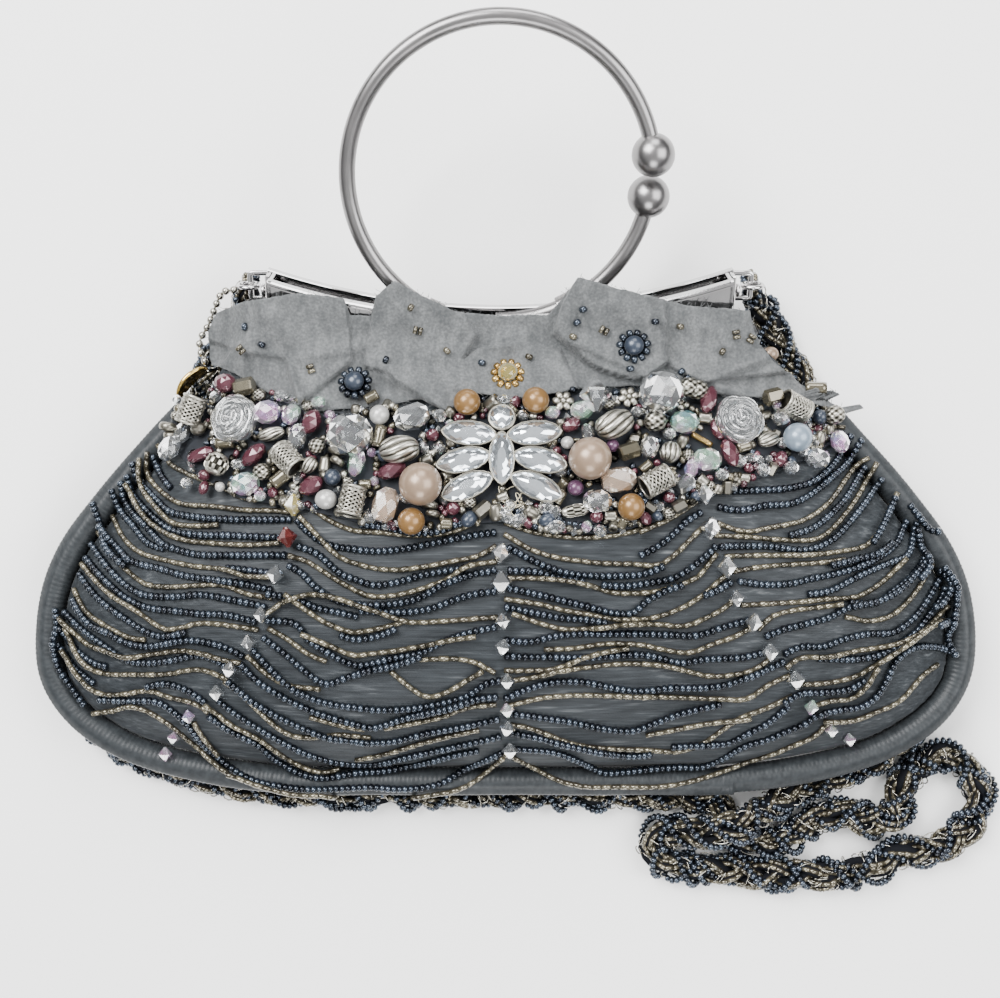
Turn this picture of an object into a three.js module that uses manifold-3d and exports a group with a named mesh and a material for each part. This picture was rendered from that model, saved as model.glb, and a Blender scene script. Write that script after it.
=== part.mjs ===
// Beaded evening purse with a metal ring handle, lying on its back with the front face up.
// Millimetres. +X to the right of the front view, +Y towards the handle, +Z out of the front.
// The origin is on the flat part of the back, under the middle of the pouch.
import * as THREE from 'three';
import { mergeVertices } from 'three/addons/utils/BufferGeometryUtils.js';
import Module from 'manifold-3d';

// Pouch
const BODY_WIDTH = 283.5;
const BODY_HEIGHT = 133;
const BODY_BOTTOM = -71;
const SEAM_LEVEL = 16;
const FRONT_RISE = 27;
const FRONT_WALL = 2;
const BACK_WALL = 1.6;
const ROLL_DIAMETER = 8.6;
const GAP = 0.3;

// Frame and ring handle
const FRAME_TILT = 24;
const FRAME_RISE = 12;
const FRAME_MIDDLE = [-1.5, BODY_BOTTOM + BODY_HEIGHT + FRAME_RISE, 24];
const FRAME_LENGTH = 134.4;
const FRAME_DIP = 11;
const FRAME_HEIGHT = 9.5;
const FRAME_DEPTH = 14.4;
const PLATE = 1.2;
const LIP = 3.4;
const RING_OUTER = 91;
const RING_TUBE = 4.7;
const RING_SINK = 6;
const RING_SPACING = 7.6;
const BALL_DIAMETER = 12.2;
const BALL_TURN = 8.7;
const COLLAR_DIAMETER = 6.6;
const COLLAR_LENGTH = 5;
const PIN_DIAMETER = 2.2;
const PIN_HEAD = 4;
const LOOP_WIDTH = 7;
const LOOP_HEIGHT = 9;
const LOOP_WIRE = 1.4;
const LINK_DIAMETER = 7.4;
const LINK_WIRE = 1.4;

// Strap, tag and its chain
const STRAP_DIAMETER = 9.6;
const CHAIN_DIAMETER = 2.4;
const TAG_LENGTH = 13;
const TAG_WIDTH = 8;
const TAG_THICKNESS = 1.4;
const TAG_PLACE = [-96.2, 54.6, 14];
const TAG_TURN = 48;
const TAG_LEAN = 70;

// Chiffon and bead work
const CHIFFON = 1.1;
const CHIFFON_FOLD = 1.3;
const FIELD_BACKING = 1.2;
const FIELD_CLEARANCE = 0.8;
const BEAD_STAND = 0.36;
const ROSETTE_DIAMETER = 10;
const ROSETTE_PEARL = 5.2;
const NAVETTE_LENGTH = 15.4;
const NAVETTE_WIDTH = 7.2;
const STONE_HEIGHT = 3.4;
const ROUND_STONE = 7;
const SETTING = 1.4;
const BEAD_SIDES = 10;
const BACK_BEAD = 5;
const BACK_BEADS = 8;

// The kinds of main bead: along its hole, across it, and how deep it stands on the cloth.
const BEAD_KINDS = {
  rose: { form: 'ball', length: 15, width: 15, depth: 8, look: 'clear' },
  crystal: { form: 'ball', length: 12.6, width: 12.6, depth: 12, look: 'clear' },
  pearl: { form: 'ball', length: 12, width: 12, depth: 12, look: 'champagne' },
  gold_pearl: { form: 'ball', length: 7.6, width: 7.6, depth: 7.6, look: 'gold' },
  blue_pearl: { form: 'ball', length: 8.4, width: 8.4, depth: 8.2, look: 'blue' },
  ribbed: { form: 'ball', length: 11.2, width: 8, depth: 8, look: 'silver' },
  bicone: { form: 'bicone', length: 11, width: 9, depth: 9, look: 'clear' },
  lump: { form: 'nugget', length: 9.8, width: 8, depth: 7, look: 'clear' },
  nugget: { form: 'nugget', length: 9.6, width: 7.6, depth: 6.6, look: 'peach' },
  filigree: { form: 'tube', length: 8.6, width: 7.4, depth: 7.4, look: 'silver' },
  oval: { form: 'ball', length: 8, width: 7, depth: 6.4, look: 'iris' },
  drop: { form: 'ball', length: 8.2, width: 4.9, depth: 4.9, look: 'mauve' },
  silver_ball: { form: 'ball', length: 6, width: 6, depth: 6, look: 'silver' },
  daisy: { form: 'daisy', length: 6.4, width: 6.4, depth: 1.8, look: 'silver' },
};

// Main beads: place as shares of the half width and the body's height, and turn in degrees.
const MAIN_BEADS = [
  { name: 'carved_rose_left', kind: 'rose', across: -0.557, height: 0.849, turn: 0, lift: 0.3 },
  { name: 'carved_rose_right', kind: 'rose', across: 0.475, height: 0.846, turn: 0 },
  { name: 'round_crystal_left', kind: 'crystal', across: -0.311, height: 0.810, turn: 0 },
  { name: 'round_crystal_right', kind: 'crystal', across: 0.312, height: 0.900, turn: 0 },
  { name: 'large_pearl_left', kind: 'pearl', across: -0.168, height: 0.704, turn: 0 },
  { name: 'large_pearl_right', kind: 'pearl', across: 0.166, height: 0.758, turn: 0 },
  { name: 'gold_pearl_upper_left', kind: 'gold_pearl', across: -0.078, height: 0.880, turn: 0 },
  { name: 'gold_pearl_upper_right', kind: 'gold_pearl', across: 0.060, height: 0.884, turn: 0 },
  { name: 'gold_pearl_lower_left', kind: 'gold_pearl', across: -0.186, height: 0.626, turn: 0 },
  { name: 'gold_pearl_lower_right', kind: 'gold_pearl', across: 0.247, height: 0.656, turn: 0 },
  { name: 'ribbed_bead_left', kind: 'ribbed', across: -0.212, height: 0.778, turn: 5 },
  { name: 'ribbed_bead_right', kind: 'ribbed', across: 0.217, height: 0.832, turn: 25 },
  { name: 'bicone_crystal', kind: 'bicone', across: 0.180, height: 0.896, turn: 0 },
  { name: 'clear_lump', kind: 'lump', across: -0.189, height: 0.848, turn: 20 },
  { name: 'filigree_tube_low_left', kind: 'filigree', across: -0.305, height: 0.668, turn: 80 },
  { name: 'filigree_tube_low_right', kind: 'filigree', across: 0.298, height: 0.710, turn: 30, lift: 0.4 },
  { name: 'filigree_tube_far_left', kind: 'filigree', across: -0.650, height: 0.868, turn: 70, lift: 1.6 },
  { name: 'filigree_tube_far_right', kind: 'filigree', across: 0.596, height: 0.876, turn: -20 },
  { name: 'filigree_tube_left', kind: 'filigree', across: -0.438, height: 0.758, turn: -45 },
  { name: 'nugget_left', kind: 'nugget', across: -0.238, height: 0.660, turn: 75 },
  { name: 'nugget_right', kind: 'nugget', across: 0.223, height: 0.713, turn: 10 },
  { name: 'blue_pearl', kind: 'blue_pearl', across: 0.596, height: 0.807, turn: 0 },
  { name: 'oval_crystal_left', kind: 'oval', across: -0.524, height: 0.705, turn: 0 },
  { name: 'oval_crystal_right', kind: 'oval', across: 0.403, height: 0.757, turn: 0 },
  { name: 'oval_crystal_low', kind: 'oval', across: 0.180, height: 0.668, turn: 0 },
  { name: 'oval_crystal_lilac', kind: 'oval', across: 0.360, height: 0.838, turn: 0 },
  { name: 'mauve_drop_left', kind: 'drop', across: -0.510, height: 0.768, turn: 45 },
  { name: 'mauve_drop_upper_right', kind: 'drop', across: 0.413, height: 0.888, turn: 70 },
  { name: 'mauve_drop_lower_right', kind: 'drop', across: 0.452, height: 0.772, turn: 110 },
  { name: 'silver_ball', kind: 'silver_ball', across: 0.372, height: 0.915, turn: 0 },
  { name: 'daisy_left', kind: 'daisy', across: 0.116, height: 0.884, turn: 0 },
  { name: 'daisy_right', kind: 'daisy', across: 0.250, height: 0.893, turn: 15 },
];

// Small beads of the fields: place as above, and diameter.
const SMALL_BEADS = [
  { across: -0.625, height: 0.790, size: 6.0 },
  { across: -0.480, height: 0.905, size: 5.8 },
  { across: -0.476, height: 0.850, size: 7.0 },
  { across: -0.410, height: 0.842, size: 5.8 },
  { across: -0.466, height: 0.700, size: 6.0 },
  { across: -0.405, height: 0.690, size: 5.6 },
  { across: -0.362, height: 0.742, size: 6.0 },
  { across: -0.240, height: 0.720, size: 5.4 },
  { across: 0.140, height: 0.836, size: 5.8 },
  { across: 0.290, height: 0.830, size: 6.4 },
  { across: 0.265, height: 0.770, size: 6.0 },
  { across: 0.350, height: 0.715, size: 6.0 },
  { across: 0.512, height: 0.760, size: 5.2 },
  { across: 0.540, height: 0.845, size: 5.4 },
  { across: 0.560, height: 0.768, size: 5.2 },
  { across: 0.128, height: 0.640, size: 5.4 },
];

// Stones of the brooch: place from its middle in shares of a navette's length, and turn.
const BROOCH_STONES = [
  { across: 0.00, up: -0.08, turn: 90 },
  { across: 0.60, up: 0.38, turn: 5 },
  { across: 0.70, up: -0.12, turn: -13 },
  { across: 0.63, up: -0.60, turn: -24 },
  { across: -0.60, up: 0.38, turn: -5 },
  { across: -0.70, up: -0.12, turn: 13 },
  { across: -0.63, up: -0.60, turn: 24 },
];
const BROOCH_PLACE = { across: -0.008, height: 0.768 };
const ROUND_UP = 0.68;

const ROSETTES = [
  { name: 'rosette_left', across: -0.307, height: 0.925 },
  { name: 'rosette_middle', across: 0.004, height: 0.945 },
  { name: 'rosette_right', across: 0.260, height: 1.003 },
];

// The rolled edge's outer side from the middle of the bottom to the side slit, as shares of the
// body's height and half width, and how far each panel stands from the seam there.
const SECTIONS = [
  { height: 0.000, width: 0.437, front: 0.02, back: 0.05 },
  { height: 0.020, width: 0.600, front: 0.26, back: 0.55 },
  { height: 0.056, width: 0.753, front: 0.44, back: 0.92 },
  { height: 0.100, width: 0.850, front: 0.60, back: 1.00 },
  { height: 0.170, width: 0.938, front: 0.76, back: 1.00 },
  { height: 0.260, width: 0.990, front: 0.88, back: 1.00 },
  { height: 0.370, width: 1.000, front: 0.96, back: 1.00 },
  { height: 0.480, width: 0.986, front: 0.99, back: 1.00 },
  { height: 0.580, width: 0.945, front: 0.97, back: 1.00 },
  { height: 0.670, width: 0.883, front: 0.92, back: 1.00 },
  { height: 0.760, width: 0.815, front: 0.83, back: 1.00 },
  { height: 0.840, width: 0.746, front: 0.73, back: 0.96 },
  { height: 0.895, width: 0.698, front: 0.66, back: 0.82 },
];

// The strap's route, chosen by hand: left loop, under the left edge, along the bottom, the pile
// at the lower right with its crossings, under the right edge, right loop.
const STRAP_ROUTE = [
  [-76.5, 83.9, 17.2], [-77, 84, 13.5], [-79.5, 80, 8.0], [-84, 72, 5.2], [-90, 60, 5], [-95, 47, 5],
  [-107, 31, 5], [-119.5, 15, 5], [-130, -1, 5], [-135.2, -18, 5], [-134.8, -35, 5],
  [-128.5, -48, 5], [-117.5, -58, 5], [-102, -65.5, 5], [-80, -70.5, 5], [-50, -72, 5],
  [-20, -72.4, 5], [10, -72.4, 5], [32, -72.6, 5], [48, -73, 5], [59, -74, 5],
  [67.5, -78, 5], [70.5, -84, 5], [77.5, -87.5, 5], [86.5, -86.5, 5], [94.5, -81.5, 5],
  [103.5, -79, 5], [114, -81.5, 5], [121.5, -78.5, 5], [122.5, -71, 5], [128.5, -64.5, 5],
  [136, -60.5, 5], [142.8, -64.5, 5], [146.4, -74, 5], [143, -84, 5], [133.5, -89.5, 5],
  [123, -91.5, 5], [113, -95.5, 5], [101, -98, 5], [89, -97.6, 5], [76.5, -97.6, 5],
  [64, -96, 5], [52, -94.5, 5], [45, -89.5, 5], [49.5, -84.4, 6], [59, -83.4, 12],
  [69, -80.6, 15.4], [79, -76.6, 10], [89, -72, 5.6], [97.5, -69.6, 5], [104.5, -66.6, 5],
  [112.5, -63, 5], [121.5, -55.5, 5], [129.5, -46, 5], [134.8, -35, 5], [135.2, -18, 5],
  [130, -1, 5], [119.5, 15, 5], [107, 31, 5], [95, 47, 5], [89, 60, 5],
  [82, 72, 5.2], [76.5, 80, 8.0], [74, 84, 13.5], [73.5, 83.9, 17.2],
];
const STRAP_SPLIT = 0.335;
const STRAP_LEFT_STEPS = 26;
const STRAP_RIGHT_STEPS = 60;

// The tag's ball chain, chosen by hand: from the left link past the chiffon to the tag.
const CHAIN_ROUTE = [
  [-80.8, 80.6, 22.0], [-84.5, 80, 20.5], [-87, 76.5, 18.0], [-89.5, 71.5, 15.5],
  [-92.4, 67, 14.2], [-92.6, 63.6, 14.1], [-91.1, 60.2, 14.2],
];

// The front chiffon, left to right: top and hem as shares of the body's height, place as a share
// of its half width, and how far a fold lifts it there in fold heights.
const FRONT_CHIFFON = [
  { across: -0.612, top: 1.000, hem: 0.965, lift: 0.0 },
  { across: -0.595, top: 1.065, hem: 0.940, lift: 0.6 },
  { across: -0.560, top: 1.100, hem: 0.945, lift: 1.6 },
  { across: -0.500, top: 1.112, hem: 0.930, lift: 0.5 },
  { across: -0.420, top: 1.122, hem: 0.905, lift: 1.4 },
  { across: -0.350, top: 1.112, hem: 0.865, lift: 0.3 },
  { across: -0.300, top: 1.085, hem: 0.885, lift: 1.2 },
  { across: -0.262, top: 1.075, hem: 0.895, lift: 1.7 },
  { across: -0.225, top: 1.144, hem: 0.890, lift: 2.0 },
  { across: -0.160, top: 1.095, hem: 0.865, lift: 1.0 },
  { across: -0.110, top: 1.080, hem: 0.862, lift: 1.5 },
  { across: -0.050, top: 1.075, hem: 0.900, lift: 0.4 },
  { across: 0.020, top: 1.073, hem: 0.900, lift: 0.6 },
  { across: 0.080, top: 1.073, hem: 0.900, lift: 0.3 },
  { across: 0.115, top: 1.080, hem: 0.905, lift: 1.5 },
  { across: 0.148, top: 1.148, hem: 0.925, lift: 2.2 },
  { across: 0.220, top: 1.125, hem: 0.925, lift: 1.6 },
  { across: 0.290, top: 1.108, hem: 0.915, lift: 1.9 },
  { across: 0.330, top: 1.098, hem: 0.910, lift: 0.4 },
  { across: 0.410, top: 1.088, hem: 0.905, lift: 1.1 },
  { across: 0.490, top: 1.080, hem: 0.890, lift: 0.5 },
  { across: 0.530, top: 1.020, hem: 0.880, lift: 0.3 },
  { across: 0.590, top: 0.955, hem: 0.870, lift: 0.2 },
  { across: 0.650, top: 0.895, hem: 0.855, lift: 0.0 },
];
const CHIFFON_ROWS = 5;

// The lower side of the small beads' field, left to right.
const FIELD_LOWER = [
  { across: -0.700, low: 0.790 },
  { across: -0.640, low: 0.730 },
  { across: -0.540, low: 0.675 },
  { across: -0.400, low: 0.650 },
  { across: -0.300, low: 0.625 },
  { across: -0.180, low: 0.600 },
  { across: -0.080, low: 0.620 },
  { across: 0.000, low: 0.625 },
  { across: 0.100, low: 0.600 },
  { across: 0.210, low: 0.600 },
  { across: 0.320, low: 0.630 },
  { across: 0.420, low: 0.680 },
  { across: 0.520, low: 0.720 },
  { across: 0.620, low: 0.760 },
  { across: 0.690, low: 0.800 },
];
const FIELD_ROWS = 4;
const FIELD_COLUMNS = 12;

const HALF = BODY_WIDTH / 2;
const radians = THREE.MathUtils.degToRad;
const wasm = await Module();
wasm.setup();

// Solids

function tidyMesh(geometry) {
  const bare = geometry.clone();
  for (const name of Object.keys(bare.attributes)) {
    if (name !== 'position') bare.deleteAttribute(name);
  }
  const merged = mergeVertices(bare, 1e-4);
  const kept = [];
  const index = merged.index.array;
  for (let i = 0; i < index.length; i += 3) {
    const [a, b, c] = [index[i], index[i + 1], index[i + 2]];
    if (a !== b && b !== c && c !== a) kept.push(a, b, c);
  }
  merged.setIndex(kept);
  return merged;
}

function toSolid(geometry) {
  const tidy = tidyMesh(geometry);
  return new wasm.Manifold(new wasm.Mesh({
    numProp: 3,
    vertProperties: tidy.attributes.position.array,
    triVerts: Uint32Array.from(tidy.index.array),
  }));
}

function toGeometry(solid) {
  const mesh = solid.getMesh();
  const geometry = new THREE.BufferGeometry();
  geometry.setAttribute('position', new THREE.BufferAttribute(Float32Array.from(mesh.vertProperties), 3));
  geometry.setIndex(Array.from(mesh.triVerts));
  return geometry;
}

function joined(geometries) {
  let solid = toSolid(geometries[0]);
  for (const geometry of geometries.slice(1)) solid = solid.add(toSolid(geometry));
  return solid;
}

function gridFaces(count, width) {
  const faces = [];
  for (let j = 0; j + 1 < count; j += 1) {
    for (let i = 0; i + 1 < width; i += 1) {
      const a = j * width + i;
      const b = a + 1;
      const c = b + width;
      const d = a + width;
      faces.push(a, b, c, a, c, d);
    }
  }
  return faces;
}

// The same rows of points moved out along the surface's own normals.
function movedOut(rows, distance) {
  const width = rows[0].length;
  const surface = new THREE.BufferGeometry();
  surface.setAttribute('position', new THREE.Float32BufferAttribute(rows.flat(2), 3));
  surface.setIndex(gridFaces(rows.length, width));
  surface.computeVertexNormals();
  const normals = surface.attributes.normal;
  return rows.map((row, j) => row.map((point, i) => {
    const k = j * width + i;
    return [
      point[0] + normals.getX(k) * distance,
      point[1] + normals.getY(k) * distance,
      point[2] + normals.getZ(k) * distance,
    ];
  }));
}

// A sheet with one thickness: rows of points on its outer side, the inner side set back from
// them, and a wall round its border.
function sheet(rows, wall) {
  const count = rows.length;
  const width = rows[0].length;
  const faces = gridFaces(count, width);
  const points = rows.flat();
  const inner = movedOut(rows, -wall).flat();
  const total = points.length;
  const all = faces.slice();
  for (let i = 0; i < faces.length; i += 3) {
    all.push(faces[i] + total, faces[i + 2] + total, faces[i + 1] + total);
  }
  const border = [];
  for (let i = 0; i < width; i += 1) border.push(i);
  for (let j = 1; j < count; j += 1) border.push(j * width + width - 1);
  for (let i = width - 2; i >= 0; i -= 1) border.push((count - 1) * width + i);
  for (let j = count - 2; j > 0; j -= 1) border.push(j * width);
  border.forEach((a, k) => {
    const b = border[(k + 1) % border.length];
    all.push(a, a + total, b + total, a, b + total, b);
  });
  const geometry = new THREE.BufferGeometry();
  geometry.setAttribute('position', new THREE.Float32BufferAttribute([...points, ...inner].flat(), 3));
  geometry.setIndex(all);
  return geometry;
}

function disc(radius, sides) {
  const shape = new THREE.Shape();
  for (let i = 0; i < sides; i += 1) {
    const turn = (2 * Math.PI * i) / sides;
    const point = [radius * Math.cos(turn), radius * Math.sin(turn)];
    if (i === 0) shape.moveTo(...point);
    else shape.lineTo(...point);
  }
  shape.closePath();
  return shape;
}

function tube(path, radius, steps, sides) {
  return new THREE.ExtrudeGeometry(disc(radius, sides), { steps, extrudePath: path, bevelEnabled: false });
}

function box(low, high) {
  const size = high.map((value, i) => value - low[i]);
  const geometry = new THREE.BoxGeometry(...size);
  return geometry.translate(...low.map((value, i) => value + size[i] / 2));
}

// A stretch of a longer curve, walked at even speed.
class Stretch extends THREE.Curve {
  constructor(whole, from, to) {
    super();
    this.whole = whole;
    this.from = from;
    this.to = to;
  }

  getPoint(t, target = new THREE.Vector3()) {
    return target.copy(this.whole.getPointAt(this.from + (this.to - this.from) * t));
  }
}

// Tables read at any place between their rows
function readTable(table, key, place, column) {
  const last = table.length - 1;
  if (place <= table[0][key]) return table[0][column];
  if (place >= table[last][key]) return table[last][column];
  const i = table.findIndex((row) => row[key] >= place);
  const [a, b] = [table[i - 1], table[i]];
  const share = (place - a[key]) / (b[key] - a[key]);
  return a[column] + (b[column] - a[column]) * share;
}

// Frame's own axes: across, up along the frame, and out of its front
const tilt = radians(FRAME_TILT);
const frameRadius = ((FRAME_LENGTH / 2) ** 2 + FRAME_DIP ** 2) / (2 * FRAME_DIP);

function frameTop(across) {
  return frameRadius - Math.sqrt(frameRadius ** 2 - across ** 2);
}

function frameBottom(across) {
  const radius = frameRadius + FRAME_HEIGHT;
  return frameRadius - Math.sqrt(radius ** 2 - across ** 2);
}

function fromFrame(across, up, out) {
  return [
    FRAME_MIDDLE[0] + across,
    FRAME_MIDDLE[1] + up * Math.cos(tilt) - out * Math.sin(tilt),
    FRAME_MIDDLE[2] + up * Math.sin(tilt) + out * Math.cos(tilt),
  ];
}

// Pouch panels
const outline = new THREE.SplineCurve(
  SECTIONS.map((row) => new THREE.Vector2(row.width * HALF, BODY_BOTTOM + row.height * BODY_HEIGHT)),
);

function insetOutline(t, distance) {
  const point = outline.getPoint(t);
  const tangent = outline.getTangent(t);
  return new THREE.Vector2(point.x - tangent.y * distance, point.y + tangent.x * distance);
}

const PANEL_COLUMNS = 16;
const panelSpread = Array.from({ length: PANEL_COLUMNS + 1 }, (_, i) => -Math.cos((Math.PI * i) / PANEL_COLUMNS));

// One row of a panel: an edge point, a middle point, and the shape of the rise between them.
function panelRow(edge, middle, roundness) {
  return panelSpread.map((u) => {
    const swell = (1 - Math.abs(u) ** 2.2) ** roundness;
    return [
      edge[0] * u,
      middle[0] + (edge[1] - middle[0]) * u * u,
      edge[2] + (middle[1] - edge[2]) * swell,
    ];
  });
}

function shiftRow(row, share) {
  return row.map((point) => [point[0] + FRAME_MIDDLE[0] * share, point[1], point[2]]);
}

function edgePoint(i, level) {
  const point = insetOutline(i / (SECTIONS.length - 1), ROLL_DIAMETER + 1.8 * GAP);
  return [point.x, point.y, level];
}

// The mouth row sits just below the frame plate on its side, and the slit row halfway to it.
function mouthRow(side) {
  const out = side * (FRAME_DEPTH / 2 - PLATE / 2);
  const half = FRAME_LENGTH / 2 - 1;
  const edge = fromFrame(half, frameBottom(half) - GAP - 0.2, out);
  const middle = fromFrame(0, frameBottom(0) - GAP - 0.2, out);
  return { edge: [half, edge[1], edge[2]], middle: [middle[1], middle[2]] };
}

function between(a, b, share) {
  return a.map((value, i) => value + (b[i] - value) * share);
}

function frontRows() {
  const rows = SECTIONS.map((row, i) => {
    const level = SEAM_LEVEL + 1;
    const edge = edgePoint(i, level);
    return { edge, middle: [edge[1], level + row.front * FRONT_RISE], roundness: 0.62 };
  });
  const mouth = mouthRow(1);
  const last = rows[rows.length - 1];
  const slit = {
    edge: between(last.edge, mouth.edge, 0.5),
    middle: between(last.middle, mouth.middle, 0.55),
    roundness: 0.8,
  };
  slit.edge[0] += 4;
  return [...rows, slit, { ...mouth, roundness: 1 }];
}

const frontGrid = frontRows().map((row, j, all) => {
  const share = Math.max(0, (j - SECTIONS.length + 1) / (all.length - SECTIONS.length));
  return shiftRow(panelRow(row.edge, row.middle, row.roundness), share);
});

// Back: flat on the surface, turned up in a narrow band along the seam.
const BACK_BAND = 0.1;

function backRows() {
  const level = SEAM_LEVEL - 1.5;
  const rows = SECTIONS.map((row, i) => ({ edge: edgePoint(i, level), drop: row.back * level }));
  const grid = rows.map(({ edge, drop }) => panelSpread.map((u) => {
    const share = Math.min(1, (1 - Math.abs(u)) / BACK_BAND);
    return [edge[0] * u, edge[1], level - drop * Math.sin((share * Math.PI) / 2)];
  }));
  const mouth = mouthRow(-1);
  const mouthPoints = shiftRow(panelRow(mouth.edge, mouth.middle, 1), 1);
  const last = grid[grid.length - 1];
  const slit = last.map((point, i) => between(point, mouthPoints[i], 0.5));
  return [...grid, slit, mouthPoints];
}

const backGrid = backRows();

// The height above the floor of a grid of points at any place, read between its rows.
function heightOn(grid, x, y) {
  const points = grid.map((row) => {
    const held = THREE.MathUtils.clamp(x, row[0][0], row[row.length - 1][0]);
    const i = Math.max(1, row.findIndex((point) => point[0] >= held));
    return between(row[i - 1], row[i], (held - row[i - 1][0]) / (row[i][0] - row[i - 1][0]));
  });
  let j = points.findIndex((point) => point[1] >= y);
  if (j < 0) return points[points.length - 1][2];
  if (j === 0) j = 1;
  const share = (y - points[j - 1][1]) / (points[j][1] - points[j - 1][1]);
  return points[j - 1][2] + (points[j][2] - points[j - 1][2]) * share;
}

// What lies on the front rests on the panel, and past its edge on the rolled edge.
function frontHeight(x, y) {
  return Math.max(heightOn(frontGrid, x, y), SEAM_LEVEL + ROLL_DIAMETER / 2);
}

function frontNormal(x, y) {
  const step = 2;
  const slopeX = (frontHeight(x + step, y) - frontHeight(x - step, y)) / (2 * step);
  const slopeY = (frontHeight(x, y + step) - frontHeight(x, y - step)) / (2 * step);
  return new THREE.Vector3(-slopeX, -slopeY, 1).normalize();
}

// A place in front of the panel, a given distance out from its surface.
function overFront(x, y, distance) {
  return [x, y, frontHeight(x, y) + distance / frontNormal(x, y).z];
}

function frontPanel() {
  return sheet(frontGrid, FRONT_WALL);
}

// Seen from outside the back panel's faces look down, so its columns run the other way.
function backPanel() {
  return sheet(backGrid.map((row) => row.slice().reverse()), BACK_WALL);
}

function edgeRoll() {
  const steps = 22;
  const right = [];
  for (let i = 1; i <= steps; i += 1) {
    const point = insetOutline(i / steps, ROLL_DIAMETER / 2);
    right.push(new THREE.Vector3(point.x, point.y, SEAM_LEVEL));
  }
  const left = right.map((point) => new THREE.Vector3(-point.x, point.y, point.z)).reverse();
  const bottom = BODY_BOTTOM + ROLL_DIAMETER / 2;
  const path = new THREE.CatmullRomCurve3([...left, new THREE.Vector3(0, bottom, SEAM_LEVEL), ...right]);
  return tube(path, ROLL_DIAMETER / 2, 44, 8);
}

// Frame
function arcStrip(half, top, bottom) {
  const centre = frameRadius;
  const upper = frameRadius + top;
  const lower = frameRadius + bottom;
  const upperTurn = Math.asin(half / upper);
  const lowerTurn = Math.asin(half / lower);
  const shape = new THREE.Shape();
  shape.absarc(0, centre, lower, -Math.PI / 2 - lowerTurn, -Math.PI / 2 + lowerTurn, false);
  shape.absarc(0, centre, upper, -Math.PI / 2 + upperTurn, -Math.PI / 2 - upperTurn, true);
  shape.closePath();
  return shape;
}

function slab(shape, from, to) {
  const geometry = new THREE.ExtrudeGeometry(shape, { depth: to - from, bevelEnabled: false, curveSegments: 6 });
  return geometry.translate(0, 0, from);
}

// One plate with its lip turned inwards; side is 1 for the front half and -1 for the back.
function plate(side, half) {
  const outer = side * FRAME_DEPTH / 2;
  const face = [outer, outer - side * PLATE].sort((a, b) => a - b);
  const lip = [outer, outer - side * LIP].sort((a, b) => a - b);
  return [
    slab(arcStrip(half, 0, FRAME_HEIGHT), ...face),
    slab(arcStrip(half, 0, PLATE), ...lip),
  ];
}

const pinUp = frameTop(FRAME_LENGTH / 2) - FRAME_HEIGHT / 2;

// The two end flanges of one half, each with a hole for its pin.
function flanges(side, from) {
  const outer = side * FRAME_DEPTH / 2;
  const past = -side * (PIN_HEAD / 2 + GAP);
  const low = pinUp - FRAME_HEIGHT / 2 + 0.6;
  const high = pinUp + FRAME_HEIGHT / 2;
  return [-1, 1].map((end) => {
    const near = end > 0 ? from : -from - PLATE;
    return box(
      [near, low, Math.min(outer, past)],
      [near + PLATE, high, Math.max(outer, past)],
    );
  });
}

function pinHoles() {
  const length = FRAME_LENGTH + 8 * PLATE;
  const hole = new THREE.CylinderGeometry(PIN_DIAMETER / 2 + GAP, PIN_DIAMETER / 2 + GAP, length, 10);
  return toSolid(hole.rotateZ(Math.PI / 2).translate(0, pinUp, 0));
}

class RingArc extends THREE.Curve {
  constructor(from, to, out) {
    super();
    this.from = radians(from);
    this.to = radians(to);
    this.out = out;
  }

  getPoint(t, target = new THREE.Vector3()) {
    const turn = this.from + (this.to - this.from) * t;
    const radius = (RING_OUTER - RING_TUBE) / 2;
    const centre = RING_OUTER / 2 - RING_SINK;
    return target.set(radius * Math.cos(turn), centre + radius * Math.sin(turn), this.out);
  }
}

// Where the ring passes the frame's top edge, measured as a turn from the bottom of the ring.
const RING_ENTRY = 27;
// How far past the bottom of the ring each half of it runs on, hidden in the frame.
const RING_OVERRUN = 2;

function ringHalf(from, to, out, steps) {
  const arc = new RingArc(from, to, out);
  const ball = new THREE.SphereGeometry(BALL_DIAMETER / 2, 12, 8);
  const end = arc.getPoint(0);
  ball.translate(end.x, end.y, end.z);
  const entry = new RingArc(to > 0 ? 270 - RING_ENTRY : -90 + RING_ENTRY, to, out);
  const middle = entry.getPoint(0);
  const tangent = entry.getTangent(0);
  const collar = new THREE.CylinderGeometry(COLLAR_DIAMETER / 2, COLLAR_DIAMETER / 2, COLLAR_LENGTH, 10);
  collar.rotateZ(Math.atan2(tangent.y, tangent.x) - Math.PI / 2);
  collar.translate(middle.x, middle.y, middle.z);
  return [tube(arc, RING_TUBE / 2, steps, 10), ball, collar];
}

const BACK_FLANGE = FRAME_LENGTH / 2 + GAP;

function frontFrame() {
  const half = FRAME_LENGTH / 2;
  const parts = [
    ...plate(1, half),
    ...flanges(1, half - PLATE),
    ...ringHalf(BALL_TURN, 270 + RING_OVERRUN, RING_SPACING / 2, 26),
  ];
  return toGeometry(joined(parts).subtract(pinHoles()));
}

const loopOut = -FRAME_DEPTH / 2 + LOOP_WIRE;

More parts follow.
